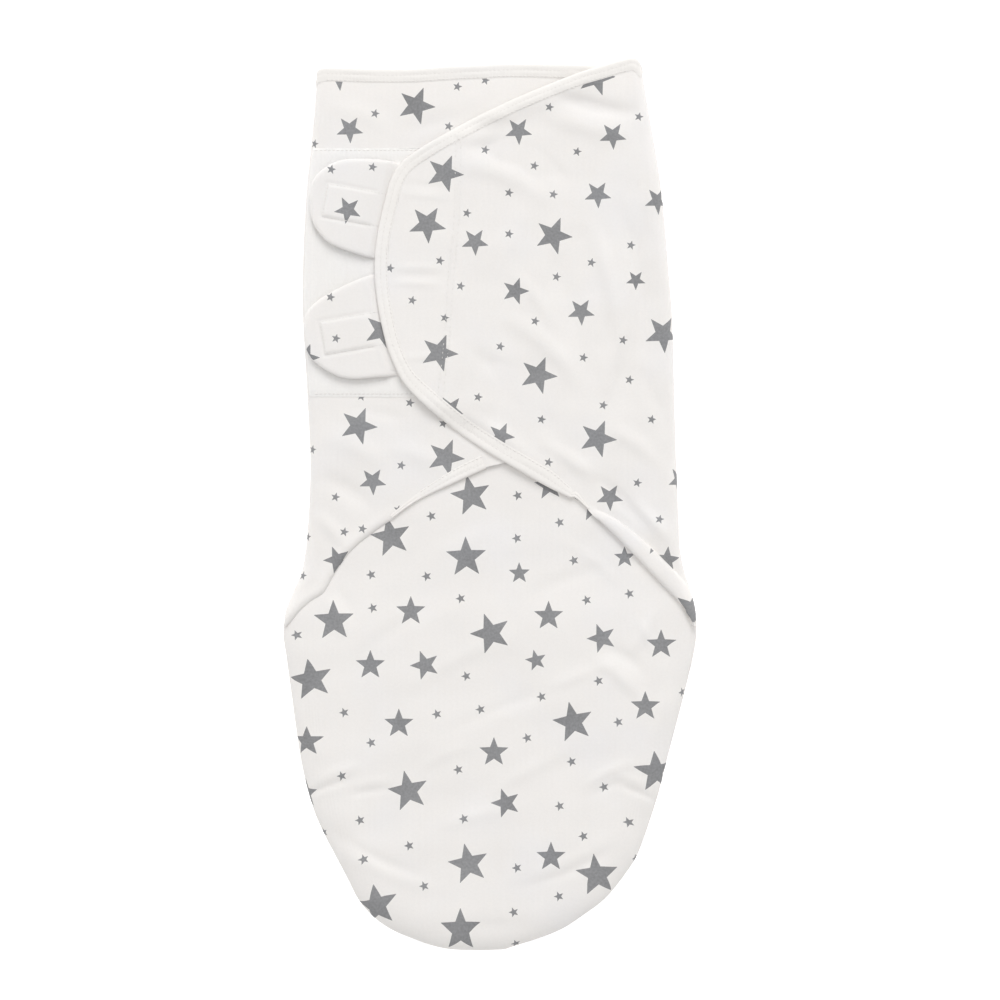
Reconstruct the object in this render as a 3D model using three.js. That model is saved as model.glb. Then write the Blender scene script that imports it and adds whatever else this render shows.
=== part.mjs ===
// A wrap-style baby sleeping bag (swaddle bag), lying closed on its back.
// Millimetres. +X is to the right as seen from above, +Y points to the head, +Z is up.
// The origin is on the floor under the middle of the bag.
import * as THREE from "three";
import { mergeVertices } from "three/addons/utils/BufferGeometryUtils.js";

// Thicknesses of the fabric layers and the air kept between two neighbours.
const GAP = 0.3;
const BACK_CLOTH = 1.2;
const POUCH_CLOTH = 1.0;
const LEFT_WING_CLOTH = 1.0;
const RIGHT_WING_CLOTH = 0.8;
const LANDING_CLOTH = 0.8;
const BACKING_CLOTH = 0.6;
const ANCHOR_CLOTH = 0.5;
const HOOK_TAPE = 0.8;
const TAB_LINING = 0.5;
const TAB_OUTER = 0.7;
const BINDING_CLOTH = 0.5;
const BINDING_WIDTH = 8;
const HEM_CLOTH = 1.6;

// Heights of the undersides of the layers where they lie flat.
const POUCH_LEVEL = 10.4;
const LEFT_WING_LEVEL = 12.6;
const LANDING_LEVEL = LEFT_WING_LEVEL + LEFT_WING_CLOTH + GAP;
const HOOK_LEVEL = LANDING_LEVEL + LANDING_CLOTH + GAP;
const LINING_LEVEL = HOOK_LEVEL + HOOK_TAPE + GAP;
const OUTER_LEVEL = LINING_LEVEL + TAB_LINING + GAP;
const BACKING_LEVEL = HOOK_LEVEL;
const ANCHOR_LEVEL = BACKING_LEVEL + BACKING_CLOTH + GAP;
const RIGHT_WING_LEVEL = 17.5;
const RIGHT_WING_LOW_LEVEL = 14;

// The side walls that the back panel turns up before it folds over into the wings.
const RIM = 6.3;
const RIGHT_RIM = 10.05;
const WALL_SPREAD = 1.4;
const FOLD_SPREAD = 8;
const DOME_SPREAD = 18;
const WINGS_END_Y = -60;
const POUCH_ONLY_Y = -110;

// Straight edges across the bag.
const BACK_TOP_Y = 270;
const NECK_TOP_Y = 276;
const MOUTH_Y = 74;
const LANDING_TOP_Y = 226;
const LANDING_FOOT_Y = 68;
const FOOT_Y = -280;

// The overlocked seam inside the pouch.
const SEAM_INSET = 3;
const SEAM_WIDTH = 3;
const SEAM_LIFT = 0.8;
const SEAM_THICKNESS = 0.8;
const SEAM_BELOW_MOUTH = 2;

// Outline of the bag as it lies, from the head to the foot.
const LEFT_OUTLINE = [
  [-108.5, 277], [-110, 253], [-113, 222], [-116, 190], [-118, 130], [-115, 72], [-113, 28],
  [-114, -5], [-117, -36], [-122.5, -52], [-128.5, -66], [-130, -80], [-127.5, -100],
  [-119.5, -157], [-112.5, -187], [-105, -206], [-88, -238], [-81, -249.5], [-64, -265],
  [-35, -277.5], [-20, -280],
];
const RIGHT_OUTLINE = [
  [94.5, 280], [99.5, 250], [107.5, 201], [112.5, 146], [115, 110], [116.5, 48], [118.5, -4],
  [120, -32], [125, -50], [129, -63], [130, -77], [129, -90], [122.5, -118], [111, -162],
  [104.5, -187], [92, -222], [82, -236.5], [71, -248.5], [60, -256], [43, -267], [20, -276], [6, -280],
];

// Free edge of the right wing: the neck diagonal, the tip with the tabs, then the lower edge.
const RIGHT_WING_EDGE = [
  [93, 279.6], [68, 276], [30, 262], [-5, 246], [-41, 226], [-59, 211], [-67, 186], [-71, 166], [-72, 146],
  [-69, 120], [-62, 94], [-50, 73], [-16, 44], [30, 16], [62, -2], [86, -24], [110, -51],
];
// The left wing's lower edge, under the right wing and out to the left fold.
const LEFT_WING_LOWER_EDGE = [
  [-2, 24], [-28, 12], [-49, 1], [-74, -18], [-90, -32], [-105, -56],
];
// The left wing stops short of the right wing's neck diagonal by this much, measured along X.
const NECK_DIAGONAL_MARGIN = 9;
const LEFT_WING_HIDDEN_X = -2;
// Its neck binding ends this far short of its corner under the right wing.
const NECK_BINDING_MARGIN = 22;
// Below these points the wings' folds leave the bag's sides and cut in to their lower edges' ends.
const RIGHT_CUT = { x: 118.6, y: -24 };
const LEFT_CUT = { x: -117.6, y: -28 };
const LEAST_WIDTH = 0.4;

// The backing layer under the right wing's tip, and the stitched line that ends it.
const BACKING = { top: 232, foot: 57, seamTopX: -20, seamFootX: -31, inset: 1.5, leastWidth: 1.5 };
// The landing panel's sides, in from the left fold and from the left wing's hidden edge.
const LANDING = { fromFold: 2.6, fromHiddenEdge: 5, rows: 8, columns: [0, 1.6, 3.4, 5.9] };

// Tabs: outlines from the upper end of the root round to its lower end.
const UPPER_TAB = [
  [-62.5, 217.5], [-91, 218], [-103, 213], [-112, 204], [-113, 190],
  [-111, 178], [-103, 166], [-92, 161], [-76.5, 154],
];
const LOWER_TAB = [
  [-76.3, 145.5], [-97, 136], [-112, 126], [-116.5, 116], [-116, 103],
  [-112, 92], [-99, 82], [-87, 78.5], [-64, 81.5],
];
const ANCHOR_DEPTH = 17;
// Where the sewn-in end begins and ends along the hinge, at the hinge and deeper in.
const ANCHOR_SHARES = { near: [0.05, 0.95], deep: [0.1, 0.9] };
const HOOK_PATCH = { length: 34, width: 22, corner: 3 };
const UPPER_HOOK = { x: -88, y: 189.5, lean: -0.18 };
const LOWER_HOOK = { x: -89.5, y: 108, lean: 0.18 };

// How many steps each smooth line is cut into.
const OUTLINE_STEPS = 160;
const ROWS = 42;
const RIGHT_EDGE_STEPS = 44;
const LEFT_EDGE_STEPS = 14;
const HIDDEN_ROWS = 14;
const TAB_STEPS = 30;

const cloth = (color, roughness) => new THREE.MeshStandardMaterial({ color, roughness, metalness: 0 });

const clamp = THREE.MathUtils.clamp;
const lerp = THREE.MathUtils.lerp;
const smoothstep = THREE.MathUtils.smoothstep;

// A smooth line through hand-placed points, cut into equal steps.
function smoothLine(points, steps) {
  const curve = new THREE.SplineCurve(points.map(([x, y]) => new THREE.Vector2(x, y)));
  return curve.getSpacedPoints(steps);
}

// X of a line that runs from head to foot, at height y.
function crossing(line, y) {
  let i = 0;
  while (i < line.length - 2 && line[i + 1].y > y) {
    i += 1;
  }
  const share = (line[i].y - y) / (line[i].y - line[i + 1].y);
  return lerp(line[i].x, line[i + 1].x, clamp(share, 0, 1));
}

const leftSide = smoothLine(LEFT_OUTLINE, OUTLINE_STEPS);
const rightSide = smoothLine(RIGHT_OUTLINE, OUTLINE_STEPS);
const footOutline = [...leftSide, ...rightSide.slice().reverse()];

// How far a point lies inside the bag's outline, the open neck not counted.
function inset(x, y) {
  const nearest = new THREE.Vector3();
  const point = new THREE.Vector3(x, y, 0);
  let least = Infinity;
  for (let i = 1; i < footOutline.length; i += 1) {
    const from = footOutline[i - 1];
    const to = footOutline[i];
    const span = new THREE.Line3(new THREE.Vector3(from.x, from.y, 0), new THREE.Vector3(to.x, to.y, 0));
    span.closestPointToPoint(point, true, nearest);
    least = Math.min(least, nearest.distanceTo(point));
  }
  return least;
}

// 0 where the wings lie over the pouch, 1 where the pouch lies bare.
const bare = (y) => smoothstep(-y, -WINGS_END_Y, -POUCH_ONLY_Y);

// A surface that starts at one height on the outline and levels out within a spread.
function rising(x, y, edge, level, spread) {
  const left = clamp(1 - inset(x, y) / spread, 0, 1);
  return level - (level - edge) * left * left;
}

const rimHeight = (x, y) => (x < 0 ? RIM : lerp(RIGHT_RIM, RIM, bare(y)));
const backUnder = (x, y) => rising(x, y, rimHeight(x, y), 0, rimHeight(x, y) * WALL_SPREAD);
const wingEdgeHeight = (x, y) => rimHeight(x, y) + BACK_CLOTH + GAP;

// The pouch's left side stays this far below the rim, so that the left wing clears it.
const POUCH_TUCK = 0.1;

function pouchUnder(x, y) {
  const covered = x < 0 ? RIM - POUCH_TUCK : POUCH_LEVEL;
  const edge = lerp(covered, wingEdgeHeight(x, y), bare(y));
  return rising(x, y, edge, POUCH_LEVEL, lerp(FOLD_SPREAD, DOME_SPREAD, bare(y)));
}

const leftWingUnder = (x, y) => rising(x, y, wingEdgeHeight(-1, y), LEFT_WING_LEVEL, FOLD_SPREAD);

// The right wing lies high over the tabs and comes down between these two places.
const DESCENT = { fromX: 5, toX: 75 };

function rightWingUnder(x, y) {
  const down = smoothstep(x, DESCENT.fromX, DESCENT.toX);
  const level = lerp(RIGHT_WING_LEVEL, RIGHT_WING_LOW_LEVEL, down);
  return x < 0 ? level : rising(x, y, wingEdgeHeight(1, y), level, FOLD_SPREAD);
}

// A box of columns by rows by one layer, with its shared corners merged, ready to be shaped.
function blank(columns, rows) {
  const box = new THREE.BoxGeometry(1, 1, 1, columns, rows, 1);
  box.deleteAttribute("normal");
  box.deleteAttribute("uv");
  return mergeVertices(box);
}

// Moves every corner of a blank. The place gets the column, the row from the top, and the layer, 0 or 1.
function shaped(columns, rows, place) {
  const solid = blank(columns, rows);
  const corners = solid.getAttribute("position");
  for (let i = 0; i < corners.count; i += 1) {
    const column = Math.round((corners.getX(i) + 0.5) * columns);
    const row = Math.round((0.5 - corners.getY(i)) * rows);
    const layer = Math.round(corners.getZ(i) + 0.5);
    const { x, y, z } = place(column, row, layer);
    corners.setXYZ(i, x, y, z);
  }
  solid.computeVertexNormals();
  return solid;
}

// Rows narrower than this have their side columns squeezed together.
const NARROW_ROW = 60;

// X places across a row: fixed distances in from each side, and even steps between them.
function places(left, right, fromLeft, middle, fromRight) {
  const squeeze = Math.min(1, (right - left) / NARROW_ROW);
  const near = fromLeft.map((d) => left + d * squeeze);
  const far = fromRight.map((d) => right - d * squeeze).reverse();
  const between = [];
  for (let i = 1; i < middle; i += 1) {
    between.push(lerp(near[near.length - 1], far[0], i / middle));
  }
  return [...near, ...between, ...far];
}

// A cloth panel: rows of {y, left, right}, columns spread across them, a height and a thickness.
function panel({ rows, fromLeft = [0], middle = 8, fromRight = [0], under, thickness }) {
  const lines = rows.map(({ y, left, right }) => places(left, right, fromLeft, middle, fromRight));
  return shaped(lines[0].length - 1, rows.length - 1, (column, row, layer) => {
    const x = lines[row][column];
    const { y } = rows[row];
    return { x, y, z: under(x, y) + layer * thickness };
  });
}

// A band that follows a line. Each place across it is [distance to the line's left, height over base].
function band({ line, lower, upper, base }) {
  const lead = line.map((p, i) => {
    const before = line[Math.max(i - 1, 0)];
    const after = line[Math.min(i + 1, line.length - 1)];
    return after.clone().sub(before).normalize();
  });
  return shaped(lower.length - 1, line.length - 1, (column, row, layer) => {
    const [inward, lift] = (layer ? upper : lower)[column];
    const x = line[row].x - lead[row].y * inward;
    const y = line[row].y + lead[row].x * inward;
    return { x, y, z: base(x, y) + lift };
  });
}

// The bend of a folded tape: its corners' angles, and how far it bulges for its half height.
const BEND_DEGREES = [60, 90, 120];
const BEND_BULGE = 0.8;

// The two faces of a tape folded over a cloth edge: the inner one clears the cloth.
function foldedTape(thickness) {
  const face = (half) => {
    const turn = BEND_DEGREES.map((degrees) => THREE.MathUtils.degToRad(degrees));
    const bend = turn.map((a) => [-BEND_BULGE * half * Math.sin(a), thickness / 2 + half * Math.cos(a)]);
    const legs = [BINDING_WIDTH, 0];
    const over = legs.map((inward) => [inward, thickness / 2 + half]);
    const below = legs.map((inward) => [inward, thickness / 2 - half]).reverse();
    return [...over, ...bend, ...below];
  };
  const slot = thickness / 2 + GAP;
  return { inner: face(slot), outer: face(slot + BINDING_CLOTH) };
}

function binding(line, thickness, base) {
  const tape = foldedTape(thickness);
  return band({ line, lower: tape.inner, upper: tape.outer, base });
}

// Turns the faces of a solid round if they look inwards.
function outward(geometry) {
  const p = geometry.getAttribute("position");
  const { index } = geometry;
  const corner = [new THREE.Vector3(), new THREE.Vector3(), new THREE.Vector3()];
  let volume = 0;
  for (let i = 0; i < index.count; i += 3) {
    corner.forEach((c, k) => c.fromBufferAttribute(p, index.getX(i + k)));
    volume += corner[0].dot(corner[1].clone().cross(corner[2]));
  }
  if (volume < 0) {
    for (let i = 0; i < index.count; i += 3) {
      const first = index.getX(i);
      index.setX(i, index.getX(i + 1));
      index.setX(i + 1, first);
    }
    geometry.computeVertexNormals();
  }
  return geometry;
}

// Columns across a side wall and across a fold, as distances in from the edge.
const WALL_COLUMNS = [0, 2, 4.5, 8, 14];
const FOLD_COLUMNS = [0, 1.2, 2.6, 4.2, 6, 8.5];
// The least step from a layer's first row to the next, and from the last but one to the last.
const TOP_STEP = 3;
const FOOT_STEP = 0.5;

// Rows between the bag's two sides, at the heights that every full-width layer shares.
function rowsAcross(top, foot, indent = () => 0) {
  const between = smoothLine(LEFT_OUTLINE, ROWS)
    .map(({ y }) => y)
    .filter((y) => y < top - TOP_STEP && y > foot + FOOT_STEP);
  return [top, ...between, foot].map((y) => ({
    y,
    left: crossing(leftSide, y) + indent(y),
    right: crossing(rightSide, y) - indent(y),
  }));
}

// A panel from one side of the bag to the other.
function fullWidthPanel(rows, middle, under, thickness) {
  return panel({ rows, fromLeft: WALL_COLUMNS, middle, fromRight: WALL_COLUMNS, under, thickness });
}

function backPanel() {
  const rows = rowsAcross(BACK_TOP_Y - BINDING_WIDTH - GAP, FOOT_Y);
  return fullWidthPanel(rows, 3, backUnder, BACK_CLOTH);
}

function backNeckBinding() {
  const rows = rowsAcross(BACK_TOP_Y, BACK_TOP_Y - BINDING_WIDTH);
  return fullWidthPanel(rows, 3, backUnder, HEM_CLOTH);
}

// Under the wings the pouch's sides sit just inside the back panel's walls.
const pouchIndent = (y) => 1 - bare(y);

function pouchFrontPanel() {
  const rows = rowsAcross(MOUTH_Y - BINDING_WIDTH - GAP, FOOT_Y, pouchIndent);
  return fullWidthPanel(rows, 4, pouchUnder, POUCH_CLOTH);
}

function pouchMouthBinding() {
  const rows = rowsAcross(MOUTH_Y, MOUTH_Y - BINDING_WIDTH, pouchIndent);
  const under = (x, y) => pouchUnder(x, y) - GAP;
  return fullWidthPanel(rows, 4, under, HEM_CLOTH);
}

// The overlocked seam inside the pouch, from the mouth down one side, round the foot and up the other.
function pouchSeam() {
  const rows = rowsAcross(MOUTH_Y - BINDING_WIDTH - SEAM_BELOW_MOUTH, FOOT_Y + SEAM_INSET);
  const down = rows.map(({ y, left }) => new THREE.Vector2(left, y));
  const up = rows.map(({ y, right }) => new THREE.Vector2(right, y)).reverse();
  const base = (x, y) => backUnder(x, y) + BACK_CLOTH + SEAM_LIFT;
  const face = (lift) => [[SEAM_INSET + SEAM_WIDTH, lift], [SEAM_INSET, lift]];
  return band({ line: [...down, ...up], lower: face(0), upper: face(SEAM_THICKNESS), base });
}

const rightWingEdge = smoothLine(RIGHT_WING_EDGE, RIGHT_EDGE_STEPS);

// The wing's fold side: it follows the outline, then cuts in to the end of its lower edge.
function rightFold(y) {
  const end = RIGHT_WING_EDGE[RIGHT_WING_EDGE.length - 1];
  const cut = lerp(RIGHT_CUT.x, end[0] + LEAST_WIDTH, smoothstep(-y, -RIGHT_CUT.y, -end[1]));
  return Math.min(crossing(rightSide, y) - GAP, cut);
}

function rightWingPanel() {
  const rows = rightWingEdge.map(({ x, y }) => {
    return { y, left: x, right: Math.max(rightFold(y), x + LEAST_WIDTH) };
  });
  const under = rightWingUnder;
  return panel({ rows, middle: 7, fromRight: FOLD_COLUMNS, under, thickness: RIGHT_WING_CLOTH });
}

function rightWingBinding() {
  return binding(rightWingEdge.slice(1, -1), RIGHT_WING_CLOTH, rightWingUnder);
}

// The double layer that holds the tab roots, from a stitched line to the wing's tip.
function tabBackingPanel() {
  const { top, foot, seamTopX, seamFootX, inset: margin, leastWidth } = BACKING;
  const stitched = (y) => lerp(seamFootX, seamTopX, clamp((y - foot) / (top - foot), 0, 1));
  const rows = rightWingEdge
    .filter(({ y }) => y > foot && y < top)
    .map(({ x, y }) => ({ y, left: x + margin, right: Math.max(stitched(y), x + margin + leastWidth) }));
  return panel({ rows, middle: 4, under: () => BACKING_LEVEL, thickness: BACKING_CLOTH });
}

// Left wing: along the neck diagonal, straight down under the right wing, then along the lower edge.
const neckCornerX = crossing(rightWingEdge, NECK_TOP_Y) - NECK_DIAGONAL_MARGIN;
const neckCorner = new THREE.Vector2(neckCornerX, NECK_TOP_Y);
const leftWingLowerEdge = smoothLine(LEFT_WING_LOWER_EDGE, LEFT_EDGE_STEPS);

function leftWingFreeEdge() {
  const diagonal = rightWingEdge
    .map(({ x, y }) => new THREE.Vector2(x - NECK_DIAGONAL_MARGIN, y))
    .filter(({ x, y }) => y < NECK_TOP_Y && y > LANDING_TOP_Y && x > LEFT_WING_HIDDEN_X);
  const from = diagonal[diagonal.length - 1].y - TOP_STEP;
  const to = leftWingLowerEdge[0].y + TOP_STEP;
  const hidden = Array.from({ length: HIDDEN_ROWS }, (_, i) => {
    return new THREE.Vector2(LEFT_WING_HIDDEN_X, lerp(from, to, i / (HIDDEN_ROWS - 1)));
  });
  return [neckCorner, ...diagonal, ...hidden, ...leftWingLowerEdge];
}

function leftFold(y) {
  const end = LEFT_WING_LOWER_EDGE[LEFT_WING_LOWER_EDGE.length - 1];
  const cut = lerp(LEFT_CUT.x, end[0] - LEAST_WIDTH, smoothstep(-y, -LEFT_CUT.y, -end[1]));
  return Math.max(crossing(leftSide, y) + GAP, cut);
}

function leftWingPanel() {
  const rows = leftWingFreeEdge().map(({ x, y }) => {
    return { y, left: Math.min(leftFold(y), x - LEAST_WIDTH), right: x };
  });
  const under = leftWingUnder;
  return panel({ rows, fromLeft: FOLD_COLUMNS, middle: 7, under, thickness: LEFT_WING_CLOTH });
}

function leftWingNeckBinding() {
  const from = leftFold(NECK_TOP_Y) + 1;
  const to = neckCorner.x - NECK_BINDING_MARGIN;
  const line = places(from, to, FOLD_COLUMNS, 6, [0]).map((x) => new THREE.Vector2(x, NECK_TOP_Y));
  return binding(line.reverse(), LEFT_WING_CLOTH, leftWingUnder);
}

function leftWingEdgeBinding() {
  const line = leftWingLowerEdge.slice(1, -1).reverse();
  return binding(line, LEFT_WING_CLOTH, leftWingUnder);
}

function loopLandingPanel() {
  const rows = Array.from({ length: LANDING.rows + 1 }, (_, i) => {
    const y = lerp(LANDING_TOP_Y, LANDING_FOOT_Y, i / LANDING.rows);
    return { y, left: leftFold(y) + LANDING.fromFold, right: LEFT_WING_HIDDEN_X - LANDING.fromHiddenEdge };
  });
  const under = (x, y) => leftWingUnder(x, y) + LEFT_WING_CLOTH + GAP;
  return panel({ rows, fromLeft: LANDING.columns, middle: 4, under, thickness: LANDING_CLOTH });
}

// A flat piece cut to an outline, lying at a height.
function plate(shape, thickness, height) {
  const settings = { depth: thickness, bevelEnabled: false, curveSegments: 6 };
  const geometry = new THREE.ExtrudeGeometry(shape, settings);
  geometry.translate(0, 0, height);
  geometry.deleteAttribute("normal");
  geometry.deleteAttribute("uv");
  const solid = mergeVertices(geometry);
  solid.computeVertexNormals();
  return solid;
}

// The root side is straight, because the tab hinges there.
function tabPlate(outline, thickness, height) {
  return plate(new THREE.Shape(smoothLine(outline, TAB_STEPS)), thickness, height);
}

// The sewn-in end of a tab, between the wing and its backing.
function tabAnchor(outline) {
  const upper = new THREE.Vector2(...outline[0]);
  const lower = new THREE.Vector2(...outline[outline.length - 1]);
  const corner = (share, inward) => {
    const onHinge = upper.clone().lerp(lower, share);
    return onHinge.setX(onHinge.x + inward);
  };
  const near = ANCHOR_SHARES.near.map((share) => corner(share, 2 * GAP));
  const deep = ANCHOR_SHARES.deep.map((share) => corner(share, ANCHOR_DEPTH)).reverse();
  return plate(new THREE.Shape([...near, ...deep]), ANCHOR_CLOTH, ANCHOR_LEVEL);
}

function hookPatch({ x, y, lean }) {
  const { length, width, corner } = HOOK_PATCH;
  const shape = new THREE.Shape();
  shape.moveTo(-length / 2 + corner, -width / 2);
  shape.lineTo(length / 2 - corner, -width / 2);
  shape.quadraticCurveTo(length / 2, -width / 2, length / 2, -width / 2 + corner);
  shape.lineTo(length / 2, width / 2 - corner);
  shape.quadraticCurveTo(length / 2, width / 2, length / 2 - corner, width / 2);
  shape.lineTo(-length / 2 + corner, width / 2);
  shape.quadraticCurveTo(-length / 2, width / 2, -length / 2, width / 2 - corner);
  shape.lineTo(-length / 2, -width / 2 + corner);
  shape.quadraticCurveTo(-length / 2, -width / 2, -length / 2 + corner, -width / 2);
  const solid = plate(shape, HOOK_TAPE, HOOK_LEVEL);
  solid.rotateZ(lean);
  solid.translate(x, y, 0);
  return solid;
}

const bag = new THREE.Group();
const starJersey = { color: 0xeeeae6, roughness: 0.95 };
const plainJersey = { color: 0xf0ece7, roughness: 0.95 };
const loopFabric = { color: 0xf3f1ee, roughness: 0.98 };
const hookNylon = { color: 0xf4f4f2, roughness: 0.7 };
const overlockThread = { color: 0xf5f3ef, roughness: 0.85 };

function add(parent, name, geometry, { color, roughness }) {
  const mesh = new THREE.Mesh(outward(geometry), cloth(color, roughness));
  mesh.name = name;
  parent.add(mesh);
}

add(bag, "back_panel", backPanel(), starJersey);
add(bag, "back_neck_binding", backNeckBinding(), plainJersey);
add(bag, "pouch_front_panel", pouchFrontPanel(), starJersey);
add(bag, "pouch_mouth_binding", pouchMouthBinding(), plainJersey);
add(bag, "pouch_seam", pouchSeam(), overlockThread);

const leftWing = new THREE.Group();
bag.add(leftWing);
add(leftWing, "left_wing_panel", leftWingPanel(), starJersey);
add(leftWing, "left_wing_neck_binding", leftWingNeckBinding(), plainJersey);
add(leftWing, "left_wing_edge_binding", leftWingEdgeBinding(), plainJersey);
add(leftWing, "loop_landing_panel", loopLandingPanel(), loopFabric);

const rightWing = new THREE.Group();
bag.add(rightWing);
add(rightWing, "right_wing_panel", rightWingPanel(), starJersey);
add(rightWing, "right_wing_binding", rightWingBinding(), plainJersey);
add(rightWing, "tab_backing_panel", tabBackingPanel(), plainJersey);

const tabs = [
  { name: "upper_tab", outline: UPPER_TAB, hook: UPPER_HOOK },
  { name: "lower_tab", outline: LOWER_TAB, hook: LOWER_HOOK },
];
for (const { name, outline, hook } of tabs) {
  const tab = new THREE.Group();
  rightWing.add(tab);
  add(rightWing, `${name}_anchor`, tabAnchor(outline), starJersey);
  add(tab, `${name}_outer`, tabPlate(outline, TAB_OUTER, OUTER_LEVEL), starJersey);
  add(tab, `${name}_lining`, tabPlate(outline, TAB_LINING, LINING_LEVEL), plainJersey);
  add(tab, `${name}_hook`, hookPatch(hook), hookNylon);
}

export default bag;
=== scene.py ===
"""Looks for the wrap-style baby sleeping bag: printed jersey, bindings, tabs and stitches.

Lengths are millimetres until a mesh is made. +X is to the right as seen from above, +Y points to the head.
A cloth piece is cut flat, with the stars let into its mesh, and a shape function lays it in place.
"""

import math

import bpy
import numpy as np
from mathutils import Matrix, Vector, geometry, kdtree


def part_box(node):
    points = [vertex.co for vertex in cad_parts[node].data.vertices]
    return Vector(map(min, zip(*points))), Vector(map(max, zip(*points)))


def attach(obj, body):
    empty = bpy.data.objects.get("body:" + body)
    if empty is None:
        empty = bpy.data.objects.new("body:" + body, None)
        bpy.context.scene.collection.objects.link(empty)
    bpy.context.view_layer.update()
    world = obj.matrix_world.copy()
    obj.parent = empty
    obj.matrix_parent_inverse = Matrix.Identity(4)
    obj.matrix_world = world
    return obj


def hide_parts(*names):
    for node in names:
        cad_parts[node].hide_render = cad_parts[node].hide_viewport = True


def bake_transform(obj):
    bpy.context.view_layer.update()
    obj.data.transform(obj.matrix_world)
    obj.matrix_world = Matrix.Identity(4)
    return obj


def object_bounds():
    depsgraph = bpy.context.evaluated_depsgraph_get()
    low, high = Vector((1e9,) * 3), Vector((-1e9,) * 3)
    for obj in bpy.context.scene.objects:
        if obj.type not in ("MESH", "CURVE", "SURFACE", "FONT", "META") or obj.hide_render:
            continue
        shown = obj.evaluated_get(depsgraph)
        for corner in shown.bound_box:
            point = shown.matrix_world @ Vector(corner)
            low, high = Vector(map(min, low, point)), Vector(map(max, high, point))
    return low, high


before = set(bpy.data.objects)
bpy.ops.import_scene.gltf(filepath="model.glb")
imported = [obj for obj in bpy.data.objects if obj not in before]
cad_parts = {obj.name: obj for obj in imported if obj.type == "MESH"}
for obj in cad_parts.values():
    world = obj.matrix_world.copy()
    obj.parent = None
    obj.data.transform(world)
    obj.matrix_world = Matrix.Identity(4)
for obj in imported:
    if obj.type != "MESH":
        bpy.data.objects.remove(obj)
cad_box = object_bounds()

MM = 0.001

# Heights of the upper faces of the layers where they lie flat, and the thicknesses of the cloths.
POUCH_TOP = 11.4
LEFT_WING_TOP = 13.6
TAB_TOP = 17.9
RIGHT_WING_TOP = 18.3
OVER_LEFT_WING_TOP = 15.1
OVER_POUCH_TOP = 13.9
JERSEY = 0.8
TAB_CLOTH = 0.6
LANDING_CLOTH = 0.5
LAYER_GAP = 0.35

# How the cloth rounds the sides: how far in from the edge it starts to turn, and how far it drops by then.
WALL_REACH = 7.0
LEFT_WALL_DROP = 6.3
RIGHT_WALL_DROP = 6.9
WALL_TURN = 2.2
WALL_END_TURN = 1.3
WALL_ENDS = (10, 70)
HIDDEN_MARGIN = 3.0
BACK_MARGIN = 1.9
SIDE_SEAM_HEIGHT = 6.2
SEAM_AIR = 0.3
BACK_RISE = SIDE_SEAM_HEIGHT - 0.2
POUCH_DROP = POUCH_TOP - SIDE_SEAM_HEIGHT - SEAM_AIR
DOME_REACH = 15.0
POUCH_REACH = 8.0
QUARTER_TURN = math.pi / 2
FLOOR_AIR = 0.1
WING_LOWEST = 3.2
# The pouch lies bare between these places below the bag's middle. There it is fuller and less flat.
BARE_FROM = 45
BARE_TO = 80
POUCH_PUFF = 1.4
POUCH_CALM = 0.25
POUCH_CLEAR = (-24, 70)
# The rolled part of each wing's lower edge.
ROLL_REACH = 4.2
ROLL_DROP = 2.2
ROLL_TURN = 2.7
# The right wing's roll lies on the wing: how wide and high it gets, and how far the wing dips beside it.
ROLL_WIDTH = 12.0
ROLL_GROWTH = 12.0
ROLL_HEIGHT = 1.9
CREASE_DIP = 1.3
CREASE_REACH = 4.5
CREASE_FADE = 14.0
ROLL_FLAT_SHARE = 0.4
ROLL_STARTS = (-4, 16)
LEFT_ROLL_HEIGHT = 0.8
LEFT_ROLL_DEPTH = 3.6
LEFT_ROLL_SPREAD = 3.0
# How far the cloth stands out past the CAD's edge, at the sides and, on top of that, at the foot's corners.
SIDE_FULLNESS = 0.6
FOOT_FULLNESS = 1.6
FOOT_CORNER_Y = -262
FOOT_SPREAD = 17
LEAST_REACH = 0.1
# Step of the lines, steps of a curve between two of its points, and the reach of a line's own depth.
LINE_STEP = 0.5
CURVE_STEPS = 12
NEAR_LINE = 20.0
# Corners of a CAD panel that lie further apart than this in Y belong to different rows.
ROW_GAP = 0.3
NORMAL_STEP = 0.3

# Unevenness of the cloth: lengths of its waves, and how many times longer than high they are.
RIPPLE_LENGTHS = (95, 70, 52, 41, 33, 26, 21, 17)
RIPPLE_FLATNESS = 420
RIGHT_FOLD_STRENGTH = 1.2
LEFT_RIPPLE_SHARE = 0.5
TAB_RIPPLE_SHARE = 0.4
RIGHT_RIPPLE_X = (-70, 0)

# Where the right wing rises over the tabs, and where the layers under it end.
OVER_TABS_X = (-8, 16)
OVER_TABS_LOW_Y = (44, 66)
OVER_TABS_HIGH_Y = (-248, -228)
BESIDE_TABS_X = (14, 44)
LEFT_WING_ENDS_X = (20, 50)
# The left wing dips beside the neck and sags below the landing panel. Its middle is out of sight and flat.
NECK_DIP = 3.2
NECK_DIP_X = (15, 52)
NECK_DIP_Y = (200, 240)
LOW_SAG = 0.7
LOW_SAG_Y = (-30, 20)
SEEN_ABOVE_Y = (226, 240)
SEEN_BELOW_Y = (-68, -50)
# The landing panel: height of its middle over its pressed border, how wide that is, and its ribs.
LANDING_RISE = 0.2
LANDING_BORDER = 5
LANDING_RIB = 0.05
# The backing's double stitch line: half the space between its rows, and what it does to the cloth.
BACKING_ROW = 1.6
PUCKER_RIDGE = 0.4
PUCKER_GROOVE = 0.6
PUCKER_WIDTH = 0.9
PUCKER_END = 4

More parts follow.
